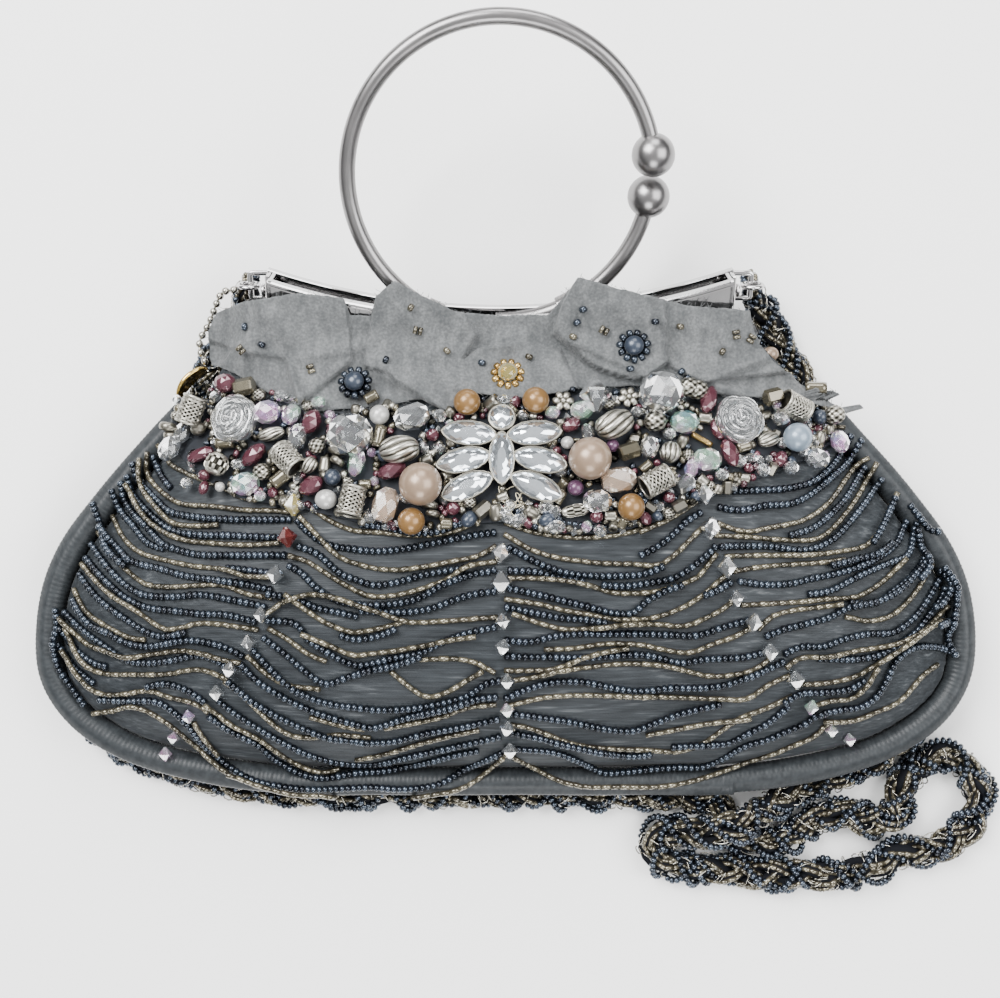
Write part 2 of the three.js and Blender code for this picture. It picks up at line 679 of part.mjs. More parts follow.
function strapLoop(end) {
  const inner = BACK_FLANGE + PLATE / 2;
  const outer = inner + LOOP_WIDTH;
  const low = pinUp - LOOP_HEIGHT / 2;
  const shape = new THREE.Shape();
  shape.moveTo(inner, low);
  shape.lineTo(outer, low);
  shape.lineTo(outer, low + LOOP_HEIGHT);
  shape.lineTo(inner, low + LOOP_HEIGHT);
  shape.closePath();
  const hole = new THREE.Path();
  const left = inner + LOOP_WIRE + PLATE / 2;
  hole.moveTo(left, low + LOOP_WIRE);
  hole.lineTo(left, low + LOOP_HEIGHT - LOOP_WIRE);
  hole.lineTo(outer - LOOP_WIRE, low + LOOP_HEIGHT - LOOP_WIRE);
  hole.lineTo(outer - LOOP_WIRE, low + LOOP_WIRE);
  hole.closePath();
  shape.holes.push(hole);
  const geometry = slab(shape, loopOut - LOOP_WIRE / 2, loopOut + LOOP_WIRE / 2);
  return end > 0 ? geometry : geometry.rotateY(Math.PI).translate(0, 0, 2 * loopOut);
}

function backFrame() {
  const half = BACK_FLANGE + PLATE;
  const parts = [
    ...plate(-1, half),
    ...flanges(-1, BACK_FLANGE),
    ...ringHalf(-BALL_TURN, -90 - RING_OVERRUN, -RING_SPACING / 2, 12),
    strapLoop(-1),
    strapLoop(1),
  ];
  return toGeometry(joined(parts).subtract(pinHoles()));
}

// A pin with a head at each end, along X.
function hingePin() {
  const inner = FRAME_LENGTH / 2 - PLATE - GAP;
  const outer = BACK_FLANGE + PLATE + GAP;
  const [shaft, head] = [PIN_DIAMETER / 2, PIN_HEAD / 2];
  const profile = [
    [0, inner - PLATE], [head, inner - PLATE], [head, inner], [shaft, inner],
    [shaft, outer], [head, outer], [head, outer + PLATE], [0, outer + PLATE],
  ].map(([radius, along]) => new THREE.Vector2(radius, along));
  return new THREE.LatheGeometry(profile, 8).rotateZ(-Math.PI / 2);
}

// Links through the strap loops, in the plane across the loop's outer wire
const linkAcross = BACK_FLANGE + PLATE / 2 + LOOP_WIDTH - LOOP_WIRE / 2 + LINK_WIRE * 0.4;

function link() {
  return new THREE.TorusGeometry((LINK_DIAMETER - LINK_WIRE) / 2, LINK_WIRE / 2, 6, 10).rotateX(Math.PI / 2);
}

// Strap and tag
const strapCurve = new THREE.CatmullRomCurve3(
  STRAP_ROUTE.map((point) => new THREE.Vector3(...point)),
  false,
  'centripetal',
);
const strapLength = strapCurve.getLength();

function strapPart(from, to, steps) {
  return tube(new Stretch(strapCurve, from, to), STRAP_DIAMETER / 2, steps, 8);
}

function tagChain() {
  const path = new THREE.CatmullRomCurve3(CHAIN_ROUTE.map((point) => new THREE.Vector3(...point)));
  return tube(path, CHAIN_DIAMETER / 2, 12, 8);
}

function tag() {
  const shape = new THREE.Shape();
  shape.absellipse(0, 0, TAG_LENGTH / 2, TAG_WIDTH / 2, 0, 2 * Math.PI, false, 0);
  return slab(shape, 0, TAG_THICKNESS);
}

// Chiffon
const PLATE_FACE = FRAME_DEPTH / 2 + GAP;

function bodyPlace(across, height) {
  return [across * HALF, BODY_BOTTOM + height * BODY_HEIGHT];
}

// The lowest a cloth may lie in front of the pouch and the frame at a place
function drapeHeight(x, y) {
  const [, faceY, faceZ] = fromFrame(0, 0, PLATE_FACE);
  const overFrame = faceZ + (y - faceY) * Math.tan(tilt);
  const overPanel = overFront(x, y, GAP * 1.5)[2];
  const nearFrame = Math.abs(x - FRAME_MIDDLE[0]) < FRAME_LENGTH / 2 + 4 && y > BODY_BOTTOM + BODY_HEIGHT * 0.95;
  return nearFrame ? Math.max(overFrame, overPanel) : overPanel;
}

function chiffonRows() {
  const rows = [];
  for (let j = 0; j <= CHIFFON_ROWS; j += 1) {
    const share = j / CHIFFON_ROWS;
    rows.push(FRONT_CHIFFON.map((row) => {
      const [x, low] = bodyPlace(row.across, row.hem);
      const high = bodyPlace(row.across, row.top)[1];
      const y = low + (high - low) * share;
      const fold = row.lift * CHIFFON_FOLD * (0.35 + 0.65 * Math.sin(Math.PI * share));
      return [x, y, drapeHeight(x, y) + CHIFFON * 1.25 + fold];
    }));
  }
  return rows;
}

const chiffonGrid = chiffonRows();

const BACK_CHIFFON_COLUMNS = 16;

function backChiffon() {
  const rows = [];
  const half = FRAME_LENGTH / 2;
  for (let j = 0; j <= 2; j += 1) {
    const row = [];
    for (let i = 0; i <= BACK_CHIFFON_COLUMNS; i += 1) {
      const across = half * (1 - (2 * i) / BACK_CHIFFON_COLUMNS);
      const up = frameBottom(across) + 0.8 + (FRAME_HEIGHT - 2) * (j / 2);
      row.push(fromFrame(across, up, -FRAME_DEPTH / 2 - GAP - CHIFFON));
    }
    rows.push(row);
  }
  return sheet(rows, CHIFFON);
}

// Bead field: a thin backing that follows the panel between the chiffon's hem and its lower side,
// with the small beads half sunk in it.
function fieldRows(from, to, columns) {
  const rows = [];
  for (let j = 0; j <= FIELD_ROWS; j += 1) {
    const row = [];
    for (let i = 0; i <= columns; i += 1) {
      const across = from + ((to - from) * i) / columns;
      const lowShare = readTable(FIELD_LOWER, 'across', across, 'low');
      const highShare = Math.max(lowShare + 0.02, readTable(FRONT_CHIFFON, 'across', across, 'hem') - 0.022);
      const [x, low] = bodyPlace(across, lowShare);
      const high = bodyPlace(across, highShare)[1];
      const y = low + ((high - low) * j) / FIELD_ROWS;
      row.push(overFront(x, y, FIELD_CLEARANCE + FIELD_BACKING));
    }
    rows.push(row);
  }
  return rows;
}

function beadField(from, to) {
  const parts = [sheet(fieldRows(from, to, FIELD_COLUMNS), FIELD_BACKING)];
  for (const bead of SMALL_BEADS) {
    if (bead.across > from && bead.across < to) {
      const [x, y] = bodyPlace(bead.across, bead.height);
      const ball = new THREE.SphereGeometry(bead.size / 2, BEAD_SIDES, 4).rotateX(Math.PI / 2);
      parts.push(ball.translate(...overFront(x, y, FIELD_CLEARANCE + FIELD_BACKING + bead.size * BEAD_STAND)));
    }
  }
  return toGeometry(joined(parts));
}

// Main beads, each standing on the field's backing and square to the panel there
function daisy({ length, depth }) {
  const shape = new THREE.Shape();
  const points = 12;
  for (let i = 0; i < points; i += 1) {
    const radius = (length / 2) * (i % 2 ? 0.6 : 1);
    const turn = (2 * Math.PI * i) / points;
    const point = [radius * Math.cos(turn), radius * Math.sin(turn)];
    if (i === 0) shape.moveTo(...point);
    else shape.lineTo(...point);
  }
  shape.closePath();
  return slab(shape, -depth / 2, depth / 2);
}

function beadForm(kind) {
  const { form, length, width, depth } = kind;
  if (form === 'daisy') return daisy(kind);
  if (form === 'nugget') return new THREE.DodecahedronGeometry(0.5).scale(length, width, depth);
  if (form === 'tube') {
    return new THREE.CylinderGeometry(width / 2, width / 2, length, BEAD_SIDES).rotateZ(Math.PI / 2);
  }
  if (form === 'bicone') {
    const profile = [[0, -0.5], [0.2, -0.5], [0.5, 0], [0.2, 0.5], [0, 0.5]];
    const points = profile.map(([radius, along]) => new THREE.Vector2(radius, along));
    return new THREE.LatheGeometry(points, BEAD_SIDES).scale(width, length, depth).rotateZ(Math.PI / 2);
  }
  return new THREE.SphereGeometry(0.5, BEAD_SIDES, 5).rotateZ(Math.PI / 2).scale(length, width, depth);
}

const BEAD_SEAT = FIELD_CLEARANCE + FIELD_BACKING + GAP;

// Turns a mesh square to the panel at a place and sets its middle at a distance out from it.
function seatOnFront(mesh, share, distance, turn) {
  const [x, y] = bodyPlace(share.across, share.height);
  const normal = frontNormal(x, y);
  mesh.position.set(...overFront(x, y, distance));
  mesh.quaternion.setFromUnitVectors(new THREE.Vector3(0, 0, 1), normal);
  mesh.rotateZ(radians(turn));
}

// A cut stone: an outline of eight points, narrowed to a flat table above and to a base below.
function cutStone(length, width) {
  const corners = [0, 1, 2, 3, 4, 5, 6, 7].map((i) => {
    const turn = (Math.PI * i) / 4;
    const slim = length > width ? 0.88 : 1;
    const middle = i % 2 ? slim : 1;
    return [Math.cos(turn) * (length / 2), Math.sin(turn) * (width / 2) * middle];
  });
  const levels = [
    { size: 0.5, level: -0.5 },
    { size: 1, level: 0.1 },
    { size: 0.6, level: 0.5 },
  ];
  const points = levels.flatMap(({ size, level }) => corners.map(([x, y]) => [x * size, y * size, level * STONE_HEIGHT]));
  const faces = [];
  for (let level = 0; level < 2; level += 1) {
    for (let i = 0; i < 8; i += 1) {
      const a = level * 8 + i;
      const b = level * 8 + ((i + 1) % 8);
      faces.push(a, b, b + 8, a, b + 8, a + 8);
    }
  }
  for (let i = 1; i < 7; i += 1) {
    faces.push(0, i + 1, i);
    faces.push(16, 16 + i, 17 + i);
  }
  const geometry = new THREE.BufferGeometry();
  geometry.setAttribute('position', new THREE.Float32BufferAttribute(points.flat(), 3));
  geometry.setIndex(faces);
  return geometry;
}

function brooch() {
  const setting = new THREE.CylinderGeometry(1, 1, SETTING, 16).rotateX(Math.PI / 2);
  setting.scale(NAVETTE_LENGTH * 0.85, NAVETTE_LENGTH * 0.75, 1);
  const stones = BROOCH_STONES.map(({ across, up, turn }) => {
    const stone = cutStone(NAVETTE_LENGTH, NAVETTE_WIDTH).rotateZ(radians(turn));
    return stone.translate(across * NAVETTE_LENGTH, up * NAVETTE_LENGTH, STONE_HEIGHT / 2 + SETTING / 4);
  });
  const round = cutStone(ROUND_STONE, ROUND_STONE);
  round.translate(0, ROUND_UP * NAVETTE_LENGTH, STONE_HEIGHT / 2 + SETTING / 4);
  return toGeometry(joined([setting, ...stones, round]));
}

// A pearl in a ring of seeds on a small round backing
function rosette() {
  const rim = ROSETTE_DIAMETER / 2;
  const pearl = ROSETTE_PEARL / 2;
  const profile = [
    [0, 0], [rim, 0], [rim, 1.3], [rim - 1, 2], [rim - 2.1, 1.2],
    [pearl, 1.9], [pearl * 0.8, 3.4], [pearl * 0.4, 4.2], [0, 4.4],
  ].map(([radius, up]) => new THREE.Vector2(radius, up));
  return new THREE.LatheGeometry(profile, 10).rotateX(Math.PI / 2);
}

// The height at which a rosette's flat back clears the chiffon under all of its rim.
function overChiffon({ x, y }, normal) {
  const rim = ROSETTE_DIAMETER / 2;
  const highest = [[0, 0], [-rim, 0], [rim, 0], [0, -rim], [0, rim]].map(([dx, dy]) => {
    const plane = -(normal.x * dx + normal.y * dy) / normal.z;
    return heightOn(chiffonGrid, x + dx, y + dy) - plane;
  });
  return Math.max(...highest) + GAP;
}

// The row of beads on the back, near its mouth
function backBeadBand() {
  const last = backGrid.length - 1;
  const row = (share) => backGrid[last - 2].map((point, i) => between(point, backGrid[last][i], share))
    .slice(1, -1).reverse();
  const rows = [0.3, 0.5, 0.7].map(row);
  const outside = movedOut(rows, 3 * GAP + FIELD_BACKING);
  const parts = [sheet(outside, FIELD_BACKING)];
  const centreLine = new THREE.CatmullRomCurve3(
    movedOut(rows, 4 * GAP + BACK_BEAD * 0.5)[1].map((point) => new THREE.Vector3(...point)),
  );
  for (let i = 0; i < BACK_BEADS; i += 1) {
    const centre = centreLine.getPointAt((i + 0.5) / BACK_BEADS);
    const ball = new THREE.SphereGeometry(BACK_BEAD / 2, BEAD_SIDES, 4);
    parts.push(ball.translate(centre.x, centre.y, centre.z));
  }
  return toGeometry(joined(parts));
}

const material = (color, roughness, metalness) => new THREE.MeshStandardMaterial({ color, roughness, metalness });
const SATIN = material(0x4a5158, 0.45, 0);
const METAL = material(0xa9a7a2, 0.3, 1);
const GAUZE = material(0x8b9298, 0.9, 0);
const BRAID = material(0x4b5058, 0.4, 0.3);
const LOOKS = {
  clear: material(0xdfe4e6, 0.1, 0),
  champagne: material(0xc9a99a, 0.3, 0.2),
  gold: material(0xb98a4a, 0.3, 0.2),
  blue: material(0x8a9db0, 0.3, 0.2),
  silver: material(0xa8a596, 0.4, 1),
  peach: material(0xd8b79c, 0.2, 0),
  iris: material(0xc5d3dc, 0.15, 0),
  mauve: material(0x7a4a56, 0.3, 0.1),
  navy: material(0x46566c, 0.3, 0.3),
  mixed: material(0x9b9489, 0.4, 0.3),
};

const purse = new THREE.Group();
purse.name = 'beaded_evening_purse';

function place(parent, name, geometry, look) {
  const mesh = new THREE.Mesh(geometry, look.clone());
  mesh.name = name;
  parent.add(mesh);
  return mesh;
}

place(purse, 'front_panel', frontPanel(), SATIN);
place(purse, 'back_panel', backPanel(), SATIN);
place(purse, 'edge_roll', edgeRoll(), SATIN);

const frame = new THREE.Group();
frame.position.set(...FRAME_MIDDLE);
frame.rotation.x = tilt;
purse.add(frame);
place(frame, 'front_frame', frontFrame(), METAL);
place(frame, 'back_frame', backFrame(), METAL);
for (const [side, end] of [['left', -1], ['right', 1]]) {
  const pin = place(frame, `hinge_pin_${side}`, hingePin(), METAL);
  pin.position.y = pinUp;
  pin.rotation.z = end > 0 ? 0 : Math.PI;
  const ring = place(frame, `strap_ring_${side}`, link(), METAL);
  ring.position.set(end * linkAcross, pinUp, loopOut);
}

place(purse, 'strap_left', strapPart(0, STRAP_SPLIT, STRAP_LEFT_STEPS), BRAID);
place(purse, 'strap_right', strapPart(STRAP_SPLIT + GAP / strapLength, 1, STRAP_RIGHT_STEPS), BRAID);
place(purse, 'tag_chain', tagChain(), METAL);
const hangTag = place(purse, 'chain_tag', tag(), material(0xb89a4a, 0.35, 1));
hangTag.position.set(...TAG_PLACE);
hangTag.rotation.set(radians(TAG_LEAN), 0, radians(TAG_TURN), 'ZYX');

place(purse, 'front_chiffon', sheet(chiffonGrid, CHIFFON), GAUZE);
place(purse, 'back_chiffon', backChiffon(), GAUZE);
for (const row of ROSETTES) {
  const mesh = place(purse, row.name, rosette(), LOOKS.navy);
  seatOnFront(mesh, row, 0, 0);
  mesh.position.z = overChiffon(mesh.position, frontNormal(mesh.position.x, mesh.position.y));
}
const broochMesh = place(purse, 'brooch', brooch(), LOOKS.clear);
seatOnFront(broochMesh, BROOCH_PLACE, BEAD_SEAT + SETTING, 0);
for (const bead of MAIN_BEADS) {
  const kind = BEAD_KINDS[bead.kind];
  const mesh = place(purse, bead.name, beadForm(kind), LOOKS[kind.look]);
  seatOnFront(mesh, bead, BEAD_SEAT + kind.depth / 2 + (bead.lift ?? 0), bead.turn);
}
place(purse, 'bead_field_left', beadField(-0.7, -0.002), LOOKS.mixed);
place(purse, 'bead_field_right', beadField(0.002, 0.69), LOOKS.mixed);
place(purse, 'back_bead_band', backBeadBand(), LOOKS.mauve);

export default purse;
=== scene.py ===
# Beaded evening purse, lying on its back: the looks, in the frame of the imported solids.
# Sizes in this script are millimetres until a mesh is made, which is in metres.
import math

import bpy
import numpy as np
from mathutils import Matrix, Vector
from mathutils.bvhtree import BVHTree


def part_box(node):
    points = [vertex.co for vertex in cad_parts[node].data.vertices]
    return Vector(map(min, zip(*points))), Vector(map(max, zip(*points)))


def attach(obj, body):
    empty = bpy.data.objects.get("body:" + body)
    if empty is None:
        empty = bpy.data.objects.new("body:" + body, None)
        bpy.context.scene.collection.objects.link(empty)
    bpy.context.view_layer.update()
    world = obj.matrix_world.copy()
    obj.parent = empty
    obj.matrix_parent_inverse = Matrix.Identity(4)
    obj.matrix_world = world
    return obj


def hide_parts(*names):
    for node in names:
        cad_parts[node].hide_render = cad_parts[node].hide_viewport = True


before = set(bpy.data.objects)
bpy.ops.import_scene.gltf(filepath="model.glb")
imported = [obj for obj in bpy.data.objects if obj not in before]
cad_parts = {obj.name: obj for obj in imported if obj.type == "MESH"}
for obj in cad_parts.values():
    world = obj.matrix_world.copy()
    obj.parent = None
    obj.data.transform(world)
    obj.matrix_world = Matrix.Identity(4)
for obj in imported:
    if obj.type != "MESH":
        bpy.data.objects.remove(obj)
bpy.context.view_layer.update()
MM = 0.001
rng = np.random.default_rng(11)

# Camera: straight down from CAMERA_HEIGHT, FOCAL in pixels of the 1000 by 998 photograph.
CAMERA_HEIGHT = 420.0
FOCAL = 1339.0
CENTRE_PX = (500.0, 499.0)
CENTRE_MM = (-1.66, 18.45)


def from_photo(px, py, z):
    scale = (CAMERA_HEIGHT - z) / FOCAL
    return (CENTRE_MM[0] + (px - CENTRE_PX[0]) * scale, CENTRE_MM[1] - (py - CENTRE_PX[1]) * scale)


camera_data = bpy.data.cameras.new("photo_camera")
camera_data.sensor_width = 36.0
camera_data.lens = FOCAL / 1000.0 * 36.0
camera_data.clip_start = 0.01
camera = bpy.data.objects.new("photo_camera", camera_data)
camera.location = (CENTRE_MM[0] * MM, CENTRE_MM[1] * MM, CAMERA_HEIGHT * MM)
bpy.context.scene.collection.objects.link(camera)
bpy.context.scene.camera = camera


# Materials
def node_tree(name):
    mat = bpy.data.materials.new(name)
    mat.use_nodes = True
    nodes = mat.node_tree.nodes
    return mat, nodes, mat.node_tree.links, nodes["Principled BSDF"]


def noise(nodes, links, scale, stretch=(1, 1, 1), detail=3.0):
    place = nodes.new("ShaderNodeTexCoord")
    mapping = nodes.new("ShaderNodeMapping")
    mapping.inputs["Scale"].default_value = stretch
    links.new(place.outputs["Object"], mapping.inputs["Vector"])
    tex = nodes.new("ShaderNodeTexNoise")
    tex.inputs["Scale"].default_value = scale
    tex.inputs["Detail"].default_value = detail
    links.new(mapping.outputs["Vector"], tex.inputs["Vector"])
    return tex.outputs["Fac"]


def wave(nodes, links, scale, axis, distortion=0.0):
    place = nodes.new("ShaderNodeTexCoord")
    tex = nodes.new("ShaderNodeTexWave")
    tex.bands_direction = axis
    tex.inputs["Scale"].default_value = scale
    tex.inputs["Distortion"].default_value = distortion
    tex.inputs["Detail"].default_value = 1.0
    links.new(place.outputs["Object"], tex.inputs["Vector"])
    return tex.outputs["Fac"]


def ramp(nodes, links, source, stops):
    node = nodes.new("ShaderNodeValToRGB")
    elements = node.color_ramp.elements
    while len(elements) < len(stops):
        elements.new(0.5)
    for element, (place, colour) in zip(elements, stops):
        element.position = place
        element.color = (*colour, 1.0)
    links.new(source, node.inputs["Fac"])
    return node.outputs["Color"]


def bumped(nodes, links, shader, source, strength, distance):
    node = nodes.new("ShaderNodeBump")
    node.inputs["Strength"].default_value = strength
    node.inputs["Distance"].default_value = distance * MM
    links.new(source, node.inputs["Height"])
    previous = shader.inputs["Normal"]
    if previous.is_linked:
        links.new(previous.links[0].from_socket, node.inputs["Normal"])
    links.new(node.outputs["Normal"], previous)


def combine(nodes, links, a, b, operation="MULTIPLY"):
    node = nodes.new("ShaderNodeMath")
    node.operation = operation
    links.new(a, node.inputs[0])
    if isinstance(b, float):
        node.inputs[1].default_value = b
    else:
        links.new(b, node.inputs[1])
    return node.outputs[0]


def bead_material(name, low, high, metallic, roughness, transmission=0.0, coat=0.4, ior=1.5,
                  grain=0.9, specular=0.5):
    """A bead's finish: its own tone from the mesh, spread between two colours, and fine pitting."""
    mat, nodes, links, shader = node_tree(name)
    tone = nodes.new("ShaderNodeAttribute")
    tone.attribute_name = "tone"
    mottle = noise(nodes, links, 900.0)
    mixed = combine(nodes, links, combine(nodes, links, tone.outputs["Fac"], 0.75),
                    combine(nodes, links, mottle, 0.25), "ADD")
    links.new(ramp(nodes, links, mixed, [(0.1, low), (0.9, high)]), shader.inputs["Base Color"])
    rough = nodes.new("ShaderNodeMapRange")
    rough.inputs["To Min"].default_value = roughness * 0.7
    rough.inputs["To Max"].default_value = roughness * 1.3
    links.new(noise(nodes, links, 450.0), rough.inputs["Value"])
    links.new(rough.outputs["Result"], shader.inputs["Roughness"])
    shader.inputs["Metallic"].default_value = metallic
    shader.inputs["Transmission Weight"].default_value = transmission
    shader.inputs["Coat Weight"].default_value = coat
    shader.inputs["Coat Roughness"].default_value = 0.06
    shader.inputs["IOR"].default_value = ior
    shader.inputs["Specular IOR Level"].default_value = specular
    bumped(nodes, links, shader, noise(nodes, links, 1400.0), grain, 0.02)
    return mat


def satin_material():
    mat, nodes, links, shader = node_tree("satin")
    weft = noise(nodes, links, 900.0, (0.10, 1.5, 1.5), 4.0)
    slub_and_glint = noise(nodes, links, 420.0, (0.12, 1.0, 1.0), 5.0)
    both = combine(nodes, links, weft, slub_and_glint)
    # The top, brightest stop of this ramp is painted highlight: the slubs of the weave, lightened to stand for the
    # glints they catch.
    links.new(ramp(nodes, links, both, [(0.10, (0.012, 0.014, 0.016)), (0.32, (0.030, 0.034, 0.038)),
                                        (0.55, (0.110, 0.118, 0.124))]), shader.inputs["Base Color"])
    shader.inputs["Roughness"].default_value = 0.48
    shader.inputs["Sheen Weight"].default_value = 0.06
    shader.inputs["Sheen Roughness"].default_value = 0.4
    shader.inputs["Anisotropic"].default_value = 0.5
    shader.inputs["Specular IOR Level"].default_value = 0.14
    bumped(nodes, links, shader, wave(nodes, links, 620.0, "Y", 0.6), 0.35, 0.06)
    bumped(nodes, links, shader, weft, 0.5, 0.1)
    return mat


def roll_material():
    mat, nodes, links, shader = node_tree("rolled_satin")
    fine = noise(nodes, links, 500.0, (1, 1, 1), 4.0)
    links.new(ramp(nodes, links, fine, [(0.25, (0.013, 0.015, 0.017)), (0.75, (0.031, 0.035, 0.038))]),
              shader.inputs["Base Color"])
    shader.inputs["Roughness"].default_value = 0.42
    shader.inputs["Sheen Weight"].default_value = 0.06
    shader.inputs["Specular IOR Level"].default_value = 0.22
    shader.inputs["Sheen Roughness"].default_value = 0.35
    bumped(nodes, links, shader, fine, 0.3, 0.08)
    return mat


def metal_material(name, colour, roughness, brushed=0.0):
    mat, nodes, links, shader = node_tree(name)
    marks = noise(nodes, links, 90.0, (1, 1, 1), 6.0)
    links.new(ramp(nodes, links, marks, [(0.3, tuple(c * 0.82 for c in colour)), (0.65, colour)]),
              shader.inputs["Base Color"])
    rough = nodes.new("ShaderNodeMapRange")
    rough.inputs["To Min"].default_value = roughness * 0.6
    rough.inputs["To Max"].default_value = roughness * 1.5
    links.new(noise(nodes, links, 60.0, (1, 1, 1), 5.0), rough.inputs["Value"])
    links.new(rough.outputs["Result"], shader.inputs["Roughness"])
    shader.inputs["Metallic"].default_value = 1.0
    bumped(nodes, links, shader, noise(nodes, links, 700.0, (0.15, 0.15, 1.0), 2.0), 0.15 + brushed, 0.03)
    return mat


def chiffon_material():
    mat, nodes, links, shader = node_tree("chiffon")
    warp = wave(nodes, links, 1150.0, "X", 1.5)
    weft = wave(nodes, links, 1250.0, "Y", 1.5)
    weave = combine(nodes, links, warp, weft)
    cloud = noise(nodes, links, 40.0, (1, 1, 1), 6.0)
    grain = noise(nodes, links, 1300.0, (1, 1, 1), 2.0)
    streak = noise(nodes, links, 300.0, (1, 0.35, 1), 4.0)
    tone = combine(nodes, links, combine(nodes, links, grain, 0.4), combine(nodes, links, cloud, 0.2), "ADD")
    tone = combine(nodes, links, combine(nodes, links, streak, 0.4), tone, "ADD")
    links.new(ramp(nodes, links, tone, [(0.38, (0.066, 0.070, 0.072)), (0.50, (0.096, 0.100, 0.102)),
                                        (0.62, (0.140, 0.145, 0.147))]), shader.inputs["Base Color"])
    shader.inputs["Roughness"].default_value = 0.85
    shader.inputs["Sheen Weight"].default_value = 0.12
    shader.inputs["Specular IOR Level"].default_value = 0.1
    shader.inputs["Sheen Roughness"].default_value = 0.5
    bumped(nodes, links, shader, weave, 0.3, 0.06)
    bumped(nodes, links, shader, noise(nodes, links, 420.0, (1, 0.6, 1), 3.0), 0.7, 0.8)
    bumped(nodes, links, shader, noise(nodes, links, 120.0, (1, 0.7, 1), 4.0), 0.7, 1.8)
    return mat


def pearl_material(name, low, high):
    mat = bead_material(name, low, high, 0.35, 0.33, coat=0.25, grain=0.15)
    shader = mat.node_tree.nodes["Principled BSDF"]
    shader.inputs["Sheen Weight"].default_value = 0.08
    shader.inputs["Sheen Roughness"].default_value = 0.3
    return mat


def iris_material():
    """Clear glass with an iridescent coat, whose hue drifts over each bead."""
    mat, nodes, links, shader = node_tree("iris_glass")
    drift = noise(nodes, links, 130.0, (1, 1, 1), 2.0)
    links.new(ramp(nodes, links, drift, [(0.30, (0.30, 0.66, 0.74)), (0.42, (0.50, 0.84, 0.60)),
                                         (0.50, (0.84, 0.86, 0.88)), (0.58, (0.86, 0.46, 0.78)),
                                         (0.72, (0.42, 0.54, 0.92))]), shader.inputs["Base Color"])
    shader.inputs["Roughness"].default_value = 0.08
    shader.inputs["Transmission Weight"].default_value = 0.85
    shader.inputs["Coat Weight"].default_value = 0.8
    shader.inputs["Coat Roughness"].default_value = 0.05
    bumped(nodes, links, shader, noise(nodes, links, 700.0), 0.2, 0.03)
    return mat


def antique_material():
    """Cast silver, dark in the recesses that the mesh's tone marks."""
    mat, nodes, links, shader = node_tree("antique_silver")
    pits = nodes.new("ShaderNodeTexVoronoi")
    place = nodes.new("ShaderNodeTexCoord")
    pits.inputs["Scale"].default_value = 900.0
    links.new(place.outputs["Object"], pits.inputs["Vector"])
    hollow = nodes.new("ShaderNodeAttribute")
    hollow.attribute_name = "tone"
    stops = [(0.15, (0.014, 0.013, 0.010)), (0.45, (0.15, 0.14, 0.115)), (0.85, (0.42, 0.405, 0.355))]
    links.new(ramp(nodes, links, hollow.outputs["Fac"], stops), shader.inputs["Base Color"])
    shader.inputs["Metallic"].default_value = 0.9
    shader.inputs["Roughness"].default_value = 0.3
    bumped(nodes, links, shader, pits.outputs["Distance"], 0.3, 0.06)
    return mat


SATIN = satin_material()
ROLL_SATIN = roll_material()
STEEL = metal_material("ring_metal", (0.235, 0.228, 0.228), 0.30, 0.1)
POLISH = metal_material("frame_metal", (0.58, 0.57, 0.57), 0.10)
TAG_GOLD = metal_material("tag_metal", (0.58, 0.40, 0.12), 0.2)
CHIFFON = chiffon_material()
NAVY = bead_material("navy_seed", (0.003, 0.005, 0.010), (0.052, 0.068, 0.092), 0.8, 0.15)
CHAMPAGNE = bead_material("champagne_bugle", (0.040, 0.034, 0.021), (0.185, 0.165, 0.115), 0.65, 0.14, coat=0.6,
                          grain=0.4)
CLEAR = bead_material("clear_crystal", (0.80, 0.84, 0.86), (0.96, 0.97, 0.98), 0.0, 0.03, transmission=0.96,
                      coat=0.5, ior=1.52, grain=0.1)
STONE = bead_material("backed_crystal", (0.50, 0.56, 0.62), (0.86, 0.90, 0.93), 0.92, 0.05, coat=0.8, grain=0.05)
MAUVE = bead_material("mauve_glass", (0.035, 0.008, 0.014), (0.125, 0.036, 0.052), 0.4, 0.16, coat=0.8, grain=0.3)
PEACH = bead_material("peach_glass", (0.60, 0.40, 0.28), (0.88, 0.74, 0.60), 0.0, 0.06, transmission=0.8,
                      coat=0.5, grain=0.2)
YELLOW = bead_material("yellow_glass", (0.50, 0.38, 0.08), (0.78, 0.64, 0.20), 0.0, 0.08, transmission=0.8,
                       coat=0.6, grain=0.2)
FROST = bead_material("frosted_crystal", (0.42, 0.44, 0.45), (0.66, 0.68, 0.69), 0.0, 0.10, transmission=0.93,
                      coat=0.3, grain=0.3)
ROSE_PEARL = pearl_material("champagne_pearl", (0.170, 0.112, 0.074), (0.315, 0.228, 0.160))
GOLD_PEARL = pearl_material("gold_pearl", (0.125, 0.062, 0.017), (0.245, 0.135, 0.044))
BLUE_PEARL = pearl_material("blue_pearl", (0.11, 0.15, 0.20), (0.26, 0.32, 0.38))
NAVY_PEARL = pearl_material("navy_pearl", (0.008, 0.013, 0.024), (0.048, 0.062, 0.088))
PLUM_PEARL = pearl_material("plum_pearl", (0.045, 0.018, 0.045), (0.12, 0.05, 0.10))
SILVER_PEARL = pearl_material("silver_pearl", (0.28, 0.28, 0.27), (0.55, 0.54, 0.52))
IRIS = iris_material()
SILVER = antique_material()
BULLION = metal_material("silver_wire", (0.40, 0.385, 0.34), 0.2)
GROUND = bead_material("bead_ground", (0.006, 0.007, 0.009), (0.035, 0.038, 0.044), 0.0, 0.8, coat=0.0,
                       specular=0.08)
CORE = bead_material("strap_core", (0.002, 0.002, 0.003), (0.010, 0.011, 0.014), 0.0, 0.8, coat=0.0,
                     specular=0.06)
THREAD = bead_material("cream_thread", (0.42, 0.37, 0.25), (0.66, 0.60, 0.46), 0.0, 0.7, coat=0.0)
